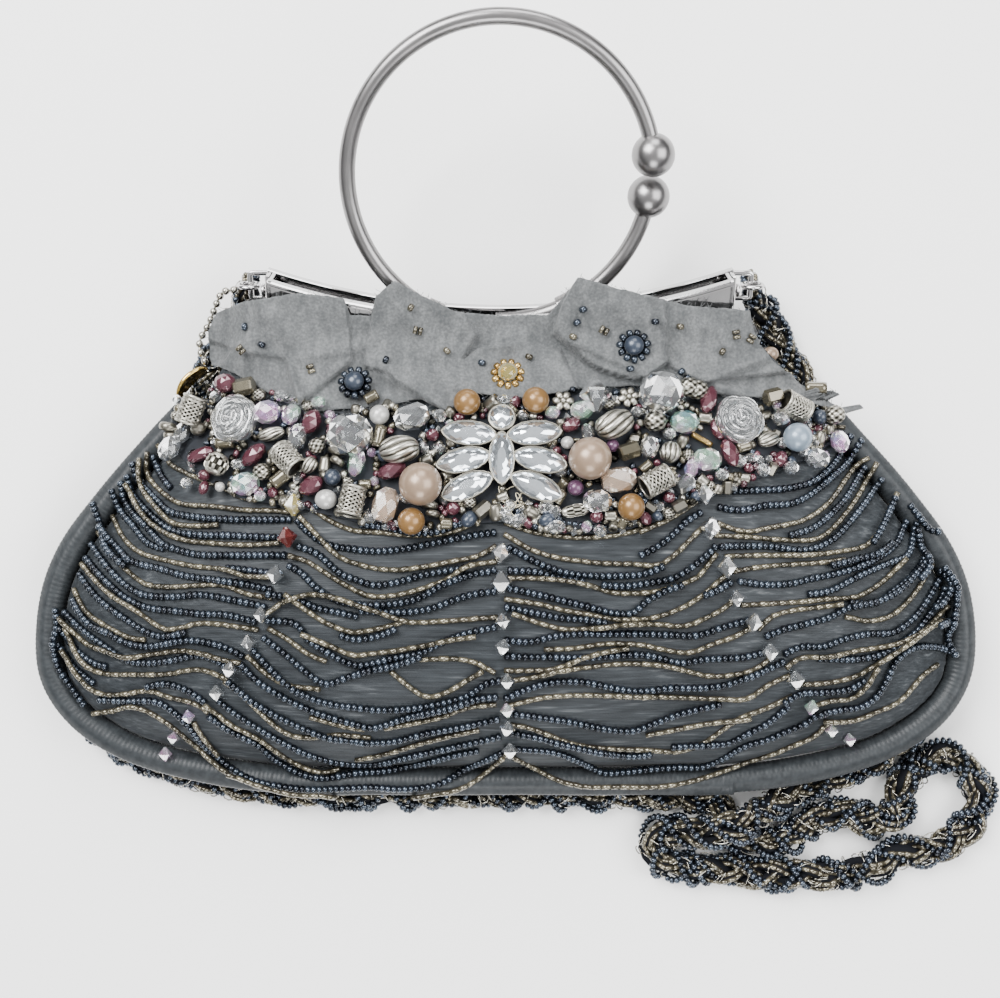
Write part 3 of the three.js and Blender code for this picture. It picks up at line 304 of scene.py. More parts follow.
RED = bead_material("red_enamel", (0.05, 0.004, 0.003), (0.10, 0.012, 0.010), 0.3, 0.25, coat=0.8)
GOLD = bead_material("gold_bead", (0.28, 0.17, 0.045), (0.52, 0.36, 0.13), 0.85, 0.2, coat=0.5)


# Meshes
def around(count):
    """Angles at even steps round a circle."""
    return np.arange(count) * 2 * np.pi / count


class Batch:
    """Shapes gathered into one mesh, with a tone and a material for each."""

    def __init__(self):
        self.points = []
        self.faces = []
        self.tones = []
        self.looks = []
        self.smooth = []
        self.count = 0
        self.materials = []

    def add(self, points, faces, look, tone=0.5, smooth=True):
        points = np.asarray(points, dtype=float)
        if look not in self.materials:
            self.materials.append(look)
        for part in faces:
            part = np.asarray(part, dtype=np.int64)
            if part.size:
                self.faces.append(part + self.count)
                self.looks.append(np.full(len(part), self.materials.index(look)))
                self.smooth.append(np.full(len(part), smooth))
        self.points.append(points)
        self.tones.append(np.broadcast_to(np.asarray(tone, dtype=float), (len(points),)))
        self.count += len(points)

    def build(self, name, slot, nodes=()):
        points = np.concatenate(self.points) * MM
        mesh = bpy.data.meshes.new(name)
        mesh.vertices.add(len(points))
        mesh.vertices.foreach_set("co", points.astype(np.float32).ravel())
        sizes = np.concatenate([np.full(len(part), part.shape[1]) for part in self.faces])
        corners = np.concatenate([part.ravel() for part in self.faces])
        mesh.loops.add(len(corners))
        mesh.loops.foreach_set("vertex_index", corners.astype(np.int32))
        mesh.polygons.add(len(sizes))
        starts = np.concatenate([[0], np.cumsum(sizes)[:-1]])
        mesh.polygons.foreach_set("loop_start", starts.astype(np.int32))
        mesh.polygons.foreach_set("material_index", np.concatenate(self.looks).astype(np.int32))
        mesh.polygons.foreach_set("use_smooth", np.concatenate(self.smooth))
        for look in self.materials:
            mesh.materials.append(look)
        mesh.update(calc_edges=True)
        mesh.validate()
        tone = mesh.attributes.new("tone", "FLOAT", "POINT")
        tone.data.foreach_set("value", np.concatenate(self.tones).astype(np.float32))
        piece = bpy.data.objects.new(name, mesh)
        bpy.context.scene.collection.objects.link(piece)
        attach(piece, "root")
        if nodes:
            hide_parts(*nodes)
        return piece


def grid_faces(rows, columns, wrap=False, wrap_rows=False):
    """Quads of a grid of points, row after row; the faces look along row x column."""
    last = columns if wrap else columns - 1
    j, i = np.meshgrid(np.arange(rows if wrap_rows else rows - 1), np.arange(last), indexing="ij")
    j, i = j.ravel(), i.ravel()
    up, side = (j + 1) % rows, (i + 1) % columns
    return np.stack([j * columns + i, j * columns + side, up * columns + side, up * columns + i], axis=1)


def lathe(profile, sides):
    """A closed solid of revolution about X from (along, radius) pairs."""
    turn = around(sides)
    rows = [np.stack([np.full(sides, x), r * np.cos(turn), r * np.sin(turn)], axis=1) for x, r in profile]
    points = np.concatenate(rows + [[[profile[0][0], 0, 0]], [[profile[-1][0], 0, 0]]])
    quads = grid_faces(len(profile), sides, wrap=True)[:, ::-1]
    first, last = len(points) - 2, len(points) - 1
    ring = np.arange(sides)
    after = (ring + 1) % sides
    end = (len(profile) - 1) * sides
    tris = np.concatenate([
        np.stack([np.full(sides, first), after, ring], axis=1)[:, ::-1],
        np.stack([np.full(sides, last), end + ring, end + after], axis=1)[:, ::-1],
    ])
    return points, [quads, tris]


def turned(along, across=None):
    """Rotations that take X to each direction, and Z as near as may be to the other."""
    along = np.asarray(along, dtype=float).reshape(-1, 3)
    along = along / np.linalg.norm(along, axis=1, keepdims=True)
    up = np.zeros_like(along)
    up[:, 2] = 1.0
    if across is not None:
        up = np.broadcast_to(np.asarray(across, dtype=float), along.shape)
    side = np.cross(up, along)
    size = np.linalg.norm(side, axis=1, keepdims=True)
    side = np.where(size < 1e-6, [[0.0, 1.0, 0.0]], side / np.maximum(size, 1e-9))
    return np.stack([along, side, np.cross(along, side)], axis=2)


def repeat(batch, shape, places, turns, look, scales=1.0, tones=None, smooth=True):
    """Copies of one shape, each with its place, rotation, size and tone."""
    points, faces = shape
    count = len(places)
    if not count:
        return
    scales = np.broadcast_to(np.asarray(scales, dtype=float).reshape(-1, 1, 1), (count, 1, 1))
    tones = rng.random(count) if tones is None else np.asarray(tones)
    moved = np.einsum("nij,nvj->nvi", turns, points[None] * scales) + np.asarray(places)[:, None, :]
    step = len(points)
    offsets = (np.arange(count) * step)[:, None, None]
    every = [(part[None] + offsets).reshape(-1, part.shape[1]) for part in faces if len(part)]
    batch.add(moved.reshape(-1, 3), every, look, np.repeat(tones, step), smooth)


def sweep(batch, path, section, look, tone=0.5, closed=False, ups=None):
    """A section of (side, up) points carried along a path; radii may change with section rows."""
    path = np.asarray(path, dtype=float)
    ahead = np.roll(path, -1, axis=0) - np.roll(path, 1, axis=0)
    if not closed:
        ahead[0], ahead[-1] = path[1] - path[0], path[-1] - path[-2]
    frames = turned(ahead, ups)
    section = np.asarray(section, dtype=float)
    if section.ndim == 2:
        section = np.broadcast_to(section, (len(path), *section.shape))
    points = path[:, None, :] + section[:, :, :1] * frames[:, None, :, 1]
    points = points + section[:, :, 1:] * frames[:, None, :, 2]
    count, width = points.shape[:2]
    faces = [grid_faces(count, width, wrap=True, wrap_rows=closed)[:, ::-1]]
    points = points.reshape(-1, 3)
    if not closed:
        points = np.concatenate([points, path[:1], path[-1:]])
        ring = np.arange(width)
        after = (ring + 1) % width
        first, last = count * width, count * width + 1
        end = (count - 1) * width
        faces.append(np.concatenate([
            np.stack([np.full(width, first), ring, after], axis=1)[:, ::-1],
            np.stack([np.full(width, last), end + after, end + ring], axis=1)[:, ::-1]]))
    batch.add(points, faces, look, tone)


def circle(radius, sides):
    turn = around(sides)
    return np.stack([radius * np.cos(turn), radius * np.sin(turn)], axis=1)


def spline(points, steps_or_gap, by_gap=True):
    """Points at even spacing along a Catmull-Rom curve through the given ones."""
    points = np.asarray(points, dtype=float)
    ends = np.concatenate([[2 * points[0] - points[1]], points, [2 * points[-1] - points[-2]]])
    share = np.linspace(0, 1, 12, endpoint=False)[:, None]
    runs = []
    for p0, p1, p2, p3 in zip(ends, ends[1:], ends[2:], ends[3:]):
        runs.append(0.5 * (2 * p1 + (p2 - p0) * share + (2 * p0 - 5 * p1 + 4 * p2 - p3) * share ** 2
                           + (3 * p1 - 3 * p2 + p3 - p0) * share ** 3))
    dense = np.concatenate(runs + [points[-1:]])
    lengths = np.concatenate([[0], np.cumsum(np.linalg.norm(np.diff(dense, axis=0), axis=1))])
    count = max(2, int(round(lengths[-1] / steps_or_gap)) + 1) if by_gap else int(steps_or_gap)
    at = np.linspace(0, lengths[-1], count)
    return np.stack([np.interp(at, lengths, dense[:, k]) for k in range(points.shape[1])], axis=1)


# The pouch, as in the source: rows of the front from the bottom edge to the mouth
HALF = 141.75
BODY_HEIGHT = 133.0
BODY_BOTTOM = -71.0
SEAM_LEVEL = 16.0
FRONT_RISE = 27.0
ROLL = 8.6
FRONT_WALL, BACK_WALL, CHIFFON_WALL, GROUND_WALL = 1.8, 1.5, 0.35, 1.0
TILT = math.radians(24)
FRAME_MIDDLE = np.array([-1.5, 74.0, 24.0])
FRAME_LENGTH = 134.4
FRAME_DIP = 11.0
FRAME_HEIGHT = 9.5
FRAME_DEPTH = 14.4
FRAME_RADIUS = ((FRAME_LENGTH / 2) ** 2 + FRAME_DIP ** 2) / (2 * FRAME_DIP)
SECTIONS = np.array([  # height, width, front, back, as shares of the body's
    (0.000, 0.437, 0.02, 0.05), (0.020, 0.600, 0.26, 0.55), (0.056, 0.753, 0.44, 0.92),
    (0.100, 0.850, 0.60, 1.00), (0.170, 0.938, 0.76, 1.00), (0.260, 0.990, 0.88, 1.00),
    (0.370, 1.000, 0.96, 1.00), (0.480, 0.986, 0.99, 1.00), (0.580, 0.945, 0.97, 1.00),
    (0.670, 0.883, 0.92, 1.00), (0.760, 0.815, 0.83, 1.00), (0.840, 0.746, 0.73, 0.96),
    (0.895, 0.698, 0.66, 0.82)])
OUTLINE = np.stack([SECTIONS[:, 1] * HALF, BODY_BOTTOM + SECTIONS[:, 0] * BODY_HEIGHT], axis=1)


def on_frame(across, up, out):
    across, up, out = np.broadcast_arrays(np.asarray(across, float), np.asarray(up, float), np.asarray(out, float))
    return np.stack([FRAME_MIDDLE[0] + across,
                     FRAME_MIDDLE[1] + up * math.cos(TILT) - out * math.sin(TILT),
                     FRAME_MIDDLE[2] + up * math.sin(TILT) + out * math.cos(TILT)], axis=-1)


def frame_top(across):
    return FRAME_RADIUS - np.sqrt(FRAME_RADIUS ** 2 - np.asarray(across, float) ** 2)


def frame_bottom(across):
    return FRAME_RADIUS - np.sqrt((FRAME_RADIUS + FRAME_HEIGHT) ** 2 - np.asarray(across, float) ** 2)


def inset_outline(distance, count):
    """Points along the outline's right half, moved in square to it."""
    line = spline(OUTLINE, count, by_gap=False)
    ahead = np.gradient(line, axis=0)
    ahead /= np.linalg.norm(ahead, axis=1, keepdims=True)
    return line + np.stack([-ahead[:, 1], ahead[:, 0]], axis=1) * distance


def at_rows(values, places):
    """Rows of a table read at places between them, along a smooth curve."""
    values = np.asarray(values, float)
    k = np.clip(np.floor(places).astype(int), 0, len(values) - 2)
    s = (places - k)[:, None]
    p1, p2 = values[k], values[k + 1]
    p0 = np.where((k > 0)[:, None], values[np.maximum(k - 1, 0)], 2 * p1 - p2)
    p3 = np.where((k + 2 < len(values))[:, None], values[np.minimum(k + 2, len(values) - 1)], 2 * p2 - p1)
    return 0.5 * (2 * p1 + (p2 - p0) * s + (2 * p0 - 5 * p1 + 4 * p2 - p3) * s ** 2
                  + (3 * p1 - 3 * p2 + p3 - p0) * s ** 3)


def panel_table(side):
    """Edge x, y, z, middle y, z and roundness of each row, the last one at the mouth."""
    edge = []
    for k in range(len(OUTLINE)):
        ahead = OUTLINE[min(k + 1, len(OUTLINE) - 1)] - OUTLINE[max(k - 1, 0)]
        ahead = ahead / np.linalg.norm(ahead)
        edge.append(OUTLINE[k] + np.array([-ahead[1], ahead[0]]) * (ROLL + 0.5))
    out = side * (FRAME_DEPTH / 2 - 0.6)
    half = FRAME_LENGTH / 2 - 1
    mouth_edge = on_frame(half, frame_bottom(half) - 0.5, out)
    mouth_middle = on_frame(0, frame_bottom(0) - 0.5, out)
    rows = [(x, y, SEAM_LEVEL + 1, y, SEAM_LEVEL + 1 + front * FRONT_RISE, 0.62)
            for (x, y), front in zip(edge, SECTIONS[:, 2])]
    last = rows[-1]
    mouth = (half, mouth_edge[1], mouth_edge[2], mouth_middle[1], mouth_middle[2], 1.0)
    slit = tuple(a + (b - a) * share for a, b, share in zip(last, mouth, (0.5, 0.5, 0.5, 0.55, 0.55, 0.5)))
    rows += [(slit[0] + 4, *slit[1:5], 0.8), mouth]
    return np.array(rows)


def front_points(rows, columns):
    places = np.linspace(0, len(SECTIONS) + 1, rows)
    table = at_rows(panel_table(1), places)
    shift = np.clip((places - len(SECTIONS) + 1) / 2, 0, 1) * FRAME_MIDDLE[0]
    u = -np.cos(np.pi * np.arange(columns) / (columns - 1))
    swell = (1 - np.abs(u) ** 2.2) ** np.maximum(table[:, 5:6], 0.3)
    x = table[:, 0:1] * u + shift[:, None]
    y = table[:, 3:4] + (table[:, 1:2] - table[:, 3:4]) * u * u
    z = table[:, 2:3] + (table[:, 4:5] - table[:, 2:3]) * swell
    return np.stack([x, y, z], axis=2)


FRONT_ROWS, FRONT_COLUMNS = 110, 160
front = front_points(FRONT_ROWS, FRONT_COLUMNS)
bvh = BVHTree.FromPolygons([tuple(p) for p in front.reshape(-1, 3)],
                           [tuple(int(v) for v in f) for f in grid_faces(FRONT_ROWS, FRONT_COLUMNS)])

# Height of what lies under the bead work, on a grid of 1 mm over the purse
FIELD_X = np.arange(-150.0, 156.0)
FIELD_Y = np.arange(-106.0, 100.0)
heights = np.full((len(FIELD_Y), len(FIELD_X)), 0.0)
roll_top = SEAM_LEVEL + ROLL / 2
for row, y in enumerate(FIELD_Y):
    for column, x in enumerate(FIELD_X):
        hit = bvh.ray_cast(Vector((x, y, 200)), Vector((0, 0, -1)))
        if hit[0] is not None:
            heights[row, column] = hit[0].z
outer = spline(OUTLINE, 200, by_gap=False)
for row, y in enumerate(FIELD_Y):
    if not BODY_BOTTOM <= y <= outer[-1, 1]:
        continue
    reach = np.interp(y, outer[:, 1], outer[:, 0])
    inside = np.abs(FIELD_X) <= reach
    heights[row, inside] = np.maximum(heights[row, inside], roll_top - 0.8)


def bilinear(grid, x, y):
    gx = np.clip(np.asarray(x, float) - FIELD_X[0], 0, len(FIELD_X) - 1.001)
    gy = np.clip(np.asarray(y, float) - FIELD_Y[0], 0, len(FIELD_Y) - 1.001)
    i, j = gx.astype(int), gy.astype(int)
    a, b = gx - i, gy - j
    return (grid[j, i] * (1 - a) * (1 - b) + grid[j, i + 1] * a * (1 - b)
            + grid[j + 1, i] * (1 - a) * b + grid[j + 1, i + 1] * a * b)


def normals_at(x, y):
    step = 2.0
    slope_x = (bilinear(heights, x + step, y) - bilinear(heights, x - step, y)) / (2 * step)
    slope_y = (bilinear(heights, x, y + step) - bilinear(heights, x, y - step)) / (2 * step)
    normal = np.stack([-slope_x, -slope_y, np.ones_like(slope_x)], axis=-1)
    return normal / np.linalg.norm(normal, axis=-1, keepdims=True)


def photo_on_front(px, py, lift=2.0):
    """Photograph pixels to millimetres on the front of the purse."""
    px, py = np.asarray(px, float), np.asarray(py, float)
    z = np.full(px.shape, 30.0)
    for _ in range(4):
        x, y = from_photo(px, py, z)
        z = bilinear(heights, x, y) + lift
    return x, y, z


def shell(batch, outer_points, wall, look):
    """A sheet with two faces and a rim, from a grid of outer points."""
    rows, columns = outer_points.shape[:2]
    across = np.gradient(outer_points, axis=1)
    along = np.gradient(outer_points, axis=0)
    normal = np.cross(across, along)
    normal /= np.maximum(np.linalg.norm(normal, axis=2, keepdims=True), 1e-9)
    inner = outer_points - normal * wall
    total = rows * columns
    faces = grid_faces(rows, columns)
    border = np.concatenate([np.arange(columns), np.arange(1, rows) * columns + columns - 1,
                             (rows - 1) * columns + np.arange(columns - 2, -1, -1),
                             np.arange(rows - 2, 0, -1) * columns])
    after = np.roll(border, -1)
    rim = np.stack([border, border + total, after + total, after], axis=1)
    points = np.concatenate([outer_points.reshape(-1, 3), inner.reshape(-1, 3)])
    batch.add(points, [np.concatenate([faces, faces[:, ::-1] + total, rim])], look)


# Front panel: the satin is taut over its padding, and puckers where it is sewn to the roll.
satin = front.copy()
edge_share = 1 - np.abs(-np.cos(np.pi * np.arange(FRONT_COLUMNS) / (FRONT_COLUMNS - 1)))[None, :]
ripple = np.sin(np.arange(FRONT_ROWS)[:, None] * 1.9 + 2 * np.sin(np.arange(FRONT_ROWS)[:, None] * 0.6))
satin[:, :, 2] += 0.35 * ripple * np.exp(-edge_share / 0.02)
swells = np.sin(satin[:, :, 0] / 9 + 1.3 * np.sin(satin[:, :, 1] / 14))
satin[:, :, 2] += 0.25 * swells * np.clip(edge_share * 6, 0, 1)
piece = Batch()
shell(piece, satin, FRONT_WALL, SATIN)
front_panel = piece.build("front_panel_satin", "satin", ["front_panel"])


# Back panel: flat where the purse lies on it, turned up along the seam
def back_points(rows, columns):
    places = np.linspace(0, len(SECTIONS) - 1, rows)
    edge = at_rows(panel_table(1)[:len(SECTIONS), :2], places)
    drop = at_rows(SECTIONS[:, 3:4], places) * (SEAM_LEVEL - BACK_WALL)
    u = -np.cos(np.pi * np.arange(columns) / (columns - 1))
    share = np.minimum(1, (1 - np.abs(u)) / 0.1)[None, :]
    x = edge[:, 0:1] * u
    y = np.broadcast_to(edge[:, 1:2], x.shape)
    z = SEAM_LEVEL - BACK_WALL - np.clip(drop, 0, SEAM_LEVEL - BACK_WALL) * np.sin(share * np.pi / 2)
    body = np.stack([x, y, z], axis=2)
    table = panel_table(-1)[-1]
    mouth = np.stack([table[0] * u + FRAME_MIDDLE[0], table[3] + (table[1] - table[3]) * u * u,
                      table[4] + (table[2] - table[4]) * np.abs(u) ** 2.2], axis=1)
    steps = np.linspace(0, 1, 24)[1:, None, None]
    return np.concatenate([body, body[-1] + (mouth - body[-1]) * steps])


back = back_points(80, 120)
piece = Batch()
shell(piece, back[:, ::-1], BACK_WALL, SATIN)
back_panel = piece.build("back_panel_satin", "satin", ["back_panel"])

# Rolled edge: padded satin in fine gathers, with the stitched groove on its inner side
ROLL_STEPS, ROLL_SIDES, ROLL_EASE = 1200, 20, 19
right = inset_outline(ROLL / 2, 420)[1:]
line = spline(np.concatenate([right[::-1] * [-1, 1], right]), 900, by_gap=False)
beyond = ROLL_EASE // 2
line = np.concatenate([np.repeat(line[:1], beyond, axis=0), line, np.repeat(line[-1:], beyond, axis=0)])
line = np.stack([np.convolve(line[:, k], np.full(ROLL_EASE, 1 / ROLL_EASE), mode="valid") for k in (0, 1)], axis=1)
line = spline(line, ROLL_STEPS, by_gap=False)
path = np.column_stack([line, np.full(len(line), SEAM_LEVEL)])
turn = around(ROLL_SIDES)
gather = np.cumsum(0.75 + 0.5 * rng.random(len(path))) * 1.9
pleat = 0.10 * np.sin(gather)[:, None] * (0.6 + 0.4 * np.sin(turn * 2 + 0.7))[None, :]
swell = 0.18 * np.sin(np.arange(len(path)) / 14.3 + np.sin(np.arange(len(path)) / 38.0))[:, None]
groove = -0.55 * np.exp(-((turn - 2.2) / 0.16) ** 2)[None, :] * (0.75 + 0.25 * np.sin(gather))[:, None]
radius = ROLL / 2 - 0.15 + pleat + swell * 0.5 + groove
section = np.stack([radius * np.cos(turn), radius * np.sin(turn)], axis=2)
piece = Batch()
sweep(piece, path, section, ROLL_SATIN, ups=(0, 0, 1))
edge_roll = piece.build("edge_roll_gathered", "satin", ["edge_roll"])


# Frame and ring handle, drawn in the frame's own axes: across, up, out
OUT = np.array([0.0, -math.sin(TILT), math.cos(TILT)])
RING_SPAN = 91.0
RING_TUBE = 4.7
RING_BALL = 12.2
RING_RADIUS = (RING_SPAN - RING_TUBE) / 2
RING_UP = RING_SPAN / 2 - 6.0
RING_OUT = 3.8
PIN_UP = float(frame_top(FRAME_LENGTH / 2)) - FRAME_HEIGHT / 2


def framed(points):
    return on_frame(points[:, 0], points[:, 1], points[:, 2])


BOX_CUT = 0.25


def rounded_box(low, high):
    """A box with its twelve edges cut, as eight corners of three points each."""
    low, high = np.asarray(low, float), np.asarray(high, float)
    points = []
    for corner in range(8):
        ends = [(corner >> axis) & 1 for axis in range(3)]
        base = np.where(ends, high, low)
        inward = np.where(ends, -BOX_CUT, BOX_CUT)
        for axis in range(3):
            point = base + inward
            point[axis] = base[axis]
            points.append(point)
    quads, tris = [], []
    for axis in range(3):
        a, b = (axis + 1) % 3, (axis + 2) % 3
        for end in (0, 1):
            loop = [(end << axis) | (i << a) | (j << b) for i, j in ((0, 0), (1, 0), (1, 1), (0, 1))]
            face = [c * 3 + axis for c in loop]
            quads.append(face if end else face[::-1])
        for i in (0, 1):
            for j in (0, 1):
                c0 = (i << a) | (j << b)
                c1 = c0 | (1 << axis)
                face = [c0 * 3 + a, c1 * 3 + a, c1 * 3 + b, c0 * 3 + b]
                quads.append(face if i ^ j else face[::-1])
    for corner in range(8):
        face = [corner * 3, corner * 3 + 1, corner * 3 + 2]
        odd = bin(corner).count("1") % 2
        tris.append(face if odd else face[::-1])
    return np.array(points), [np.array(quads), np.array(tris)]


def plate_piece(batch, side, half):
    """One plate of the frame: a curved strip with a rolled bead along its top and an inner lip."""
    outer = FRAME_DEPTH / 2
    section = [(9.5, outer - 0.25), (9.25, outer), (1.5, outer), (1.2, outer - 0.12), (0.95, outer + 0.08),
               (0.35, outer + 0.08), (0.0, outer - 0.35), (0.0, outer - 3.2), (0.2, outer - 3.4),
               (1.0, outer - 3.4), (1.2, outer - 3.2), (1.2, outer - 1.2), (9.3, outer - 1.2), (9.5, outer - 0.95)]
    rows = []
    share = np.linspace(-1, 1, 120)
    for radial, out in section:
        angle = np.arcsin(half / (FRAME_RADIUS + radial)) * share
        rows.append(np.stack([(FRAME_RADIUS + radial) * np.sin(angle),
                              FRAME_RADIUS - (FRAME_RADIUS + radial) * np.cos(angle),
                              np.full(len(angle), side * out)], axis=1))
    points = np.stack(rows, axis=1)
    width = len(section)
    faces = grid_faces(len(share), width, wrap=True)
    caps = np.array([[0, 1, 2], [0, 2, 3], [0, 3, 12], [0, 12, 13], [3, 4, 5], [3, 5, 6], [3, 6, 10], [3, 10, 11],
                     [3, 11, 12], [6, 7, 8], [6, 8, 9], [6, 9, 10]])
    end = (len(share) - 1) * width
    if side < 0:
        faces = faces[:, ::-1]
        caps = caps[:, ::-1]
    faces = [faces, np.concatenate([caps, caps[:, ::-1] + end])]
    batch.add(framed(points.reshape(-1, 3)), faces, POLISH, smooth=False)


def ring_piece(batch, start, stop, out, count):
    angles = np.radians(np.linspace(start, stop, count))
    path = on_frame(RING_RADIUS * np.cos(angles), RING_UP + RING_RADIUS * np.sin(angles), out)
    sweep(batch, path, circle(RING_TUBE / 2, 24), STEEL, ups=OUT)
    reach = RING_BALL / 2
    ball = lathe([(reach * math.sin(t), max(reach * math.cos(t), 0.05)) for t in np.linspace(-1.55, 1.55, 22)], 40)
    tangent = path[1] - path[0]
    repeat(batch, ball, [path[0]], turned([tangent], OUT), STEEL)
    entry = math.radians(270 - 27 if stop > 0 else -90 + 27)
    middle = on_frame(RING_RADIUS * math.cos(entry), RING_UP + RING_RADIUS * math.sin(entry), out)
    along = on_frame(-RING_RADIUS * math.sin(entry), RING_RADIUS * math.cos(entry), 0) - FRAME_MIDDLE
    collar = lathe([(-2.5, 3.0), (-2.3, 3.3), (2.3, 3.3), (2.5, 3.0)], 24)
    repeat(batch, collar, [middle], turned([along], OUT), STEEL, smooth=False)


LOOP_WIRE = 0.7
LOOP_OUT = -FRAME_DEPTH / 2 + 1.4


def wire_loop(batch, end):
    """Flat rectangular loop for the strap, at one end of the back plate."""
    inner = FRAME_LENGTH / 2 + 0.9
    left, right = end * (inner + 0.7), end * (inner + 6.3)
    low, high = PIN_UP - 3.8, PIN_UP + 3.8
    corners = []
    for cx, cy, start in ((right, high, 0), (left, high, 1), (left, low, 2), (right, low, 3)):
        for k in range(4):
            turn = math.pi / 2 * (start + k / 3)
            dx = math.cos(turn) * (1 if end > 0 else -1)
            mx = cx - math.copysign(LOOP_WIRE, cx - (left + right) / 2)
            my = cy - math.copysign(LOOP_WIRE, cy - PIN_UP)
            corners.append((mx + LOOP_WIRE * dx, my + LOOP_WIRE * math.sin(turn)))
    corners = np.array(corners)
    path = on_frame(corners[:, 0], corners[:, 1], LOOP_OUT)
    square = np.array([(-0.7, -0.5), (-0.5, -0.7), (0.5, -0.7), (0.7, -0.5),
                       (0.7, 0.5), (0.5, 0.7), (-0.5, 0.7), (-0.7, 0.5)])
    sweep(batch, path, square, POLISH, closed=True, ups=OUT)


def flange(batch, side, near):
    low, high = PIN_UP - FRAME_HEIGHT / 2 + 0.6, PIN_UP + FRAME_HEIGHT / 2
    outs = sorted((side * FRAME_DEPTH / 2, -side * 2.3))
    points, faces = rounded_box((near, low, outs[0]), (near + 1.2, high, outs[1]))
    batch.add(framed(points), faces, POLISH, smooth=False)


half = FRAME_LENGTH / 2
piece = Batch()
plate_piece(piece, 1, half)
flange(piece, 1, half - 1.2)
flange(piece, 1, -half)
ring_piece(piece, 8.7, 272, RING_OUT, 200)
piece.build("front_frame_polished", "frame_metal", ["front_frame"])

piece = Batch()
plate_piece(piece, -1, half + 1.5)
flange(piece, -1, half + 0.3)
flange(piece, -1, -half - 1.5)
ring_piece(piece, -8.7, -92, -RING_OUT, 80)
wire_loop(piece, -1)
wire_loop(piece, 1)
piece.build("back_frame_polished", "frame_metal", ["back_frame"])

LINK_RADIUS = 3.0
LINK_ACROSS = half + 0.3 + 0.6 + 7.0 - 0.7 + 0.56
for side, end in (("left", -1), ("right", 1)):
    piece = Batch()
    inner, outer = half - 1.5, half + 1.8
    pin = lathe([(inner - 1.2, 1.6), (inner - 0.9, 2.0), (inner - 0.2, 2.0), (inner, 1.1), (outer, 1.1),
                 (outer + 0.2, 2.0), (outer + 0.9, 2.0), (outer + 1.2, 1.5)], 20)
    points = pin[0] * [end, 1, 1] + [0, PIN_UP, 0]
    faces = pin[1] if end > 0 else [part[:, ::-1] for part in pin[1]]
    piece.add(framed(points), faces, POLISH)
    piece.build(f"hinge_pin_{side}_turned", "frame_metal", [f"hinge_pin_{side}"])
    piece = Batch()
    angle = np.linspace(0, 2 * np.pi, 40, endpoint=False)
    across, out = end * LINK_ACROSS + LINK_RADIUS * np.cos(angle), LOOP_OUT + LINK_RADIUS * np.sin(angle)
    path = on_frame(across, PIN_UP, out)
    sweep(piece, path, circle(LOOP_WIRE, 12), POLISH, closed=True, ups=(0, math.cos(TILT), math.sin(TILT)))
    piece.build(f"strap_ring_{side}_wire", "frame_metal", [f"strap_ring_{side}"])


# Bead shapes, hole along X
def profile_ball(length, width, rings):
    angles = np.linspace(-1.35, 1.35, rings)
    return [(length / 2 * math.sin(a) / math.sin(1.35), width / 2 * math.cos(a)) for a in angles]


SEED = lathe([(-0.80, 0.50), (-0.66, 1.00), (0.0, 1.18), (0.66, 1.00), (0.80, 0.50)], 8)
BUGLE = lathe([(-1.40, 0.50), (-1.34, 0.80), (1.34, 0.80), (1.40, 0.50)], 7)
BICONE = lathe([(-0.5, 0.10), (-0.40, 0.16), (0.0, 0.52), (0.40, 0.16), (0.5, 0.10)], 8)

# Where the middle of the next strand may lie lowest, on a grid of half a millimetre
FINE = 0.5
fine_x = np.arange(FIELD_X[0], FIELD_X[-1], FINE)
fine_y = np.arange(FIELD_Y[0], FIELD_Y[-1], FINE)
stack = np.full((len(fine_y), len(fine_x)), -1.0)


STRAND_PRESS = 0.25


def lay(path, radius):
    """Rests a line of points on the pouch and on the strands that are there already."""
    x, y = path[:, 0], path[:, 1]
    base = bilinear(heights, x, y) + radius - STRAND_PRESS
    i = np.clip(((x - fine_x[0]) / FINE).round().astype(int), 0, len(fine_x) - 1)
    j = np.clip(((y - fine_y[0]) / FINE).round().astype(int), 0, len(fine_y) - 1)
    z = np.maximum(base, stack[j, i])
    for _ in range(4):
        padded = np.concatenate([[z[0]] * 2, z, [z[-1]] * 2])
        mean = (padded[:-4] + padded[1:-3] + padded[2:-2] + padded[3:-1] + padded[4:]) / 5
        z = np.maximum(z, mean)
    return np.column_stack([x, y, z])


def mark(path, radius):
    """Raises the grid over a line that has been laid."""
    reach = 2 * radius * 0.92
    cells = int(reach / FINE) + 1
    for x, y, z in path:
        i0, j0 = int(round((x - fine_x[0]) / FINE)), int(round((y - fine_y[0]) / FINE))
        i_low, i_high = max(i0 - cells, 0), min(i0 + cells + 1, len(fine_x))
        j_low, j_high = max(j0 - cells, 0), min(j0 + cells + 1, len(fine_y))
        if i_low >= i_high or j_low >= j_high:
            continue
        dx = fine_x[i_low:i_high][None, :] - x
        dy = fine_y[j_low:j_high][:, None] - y
        room = reach ** 2 - dx ** 2 - dy ** 2
        top = np.where(room > 0, z + np.sqrt(np.maximum(room, 0)), -1.0)
        stack[j_low:j_high, i_low:i_high] = np.maximum(stack[j_low:j_high, i_low:i_high], top)
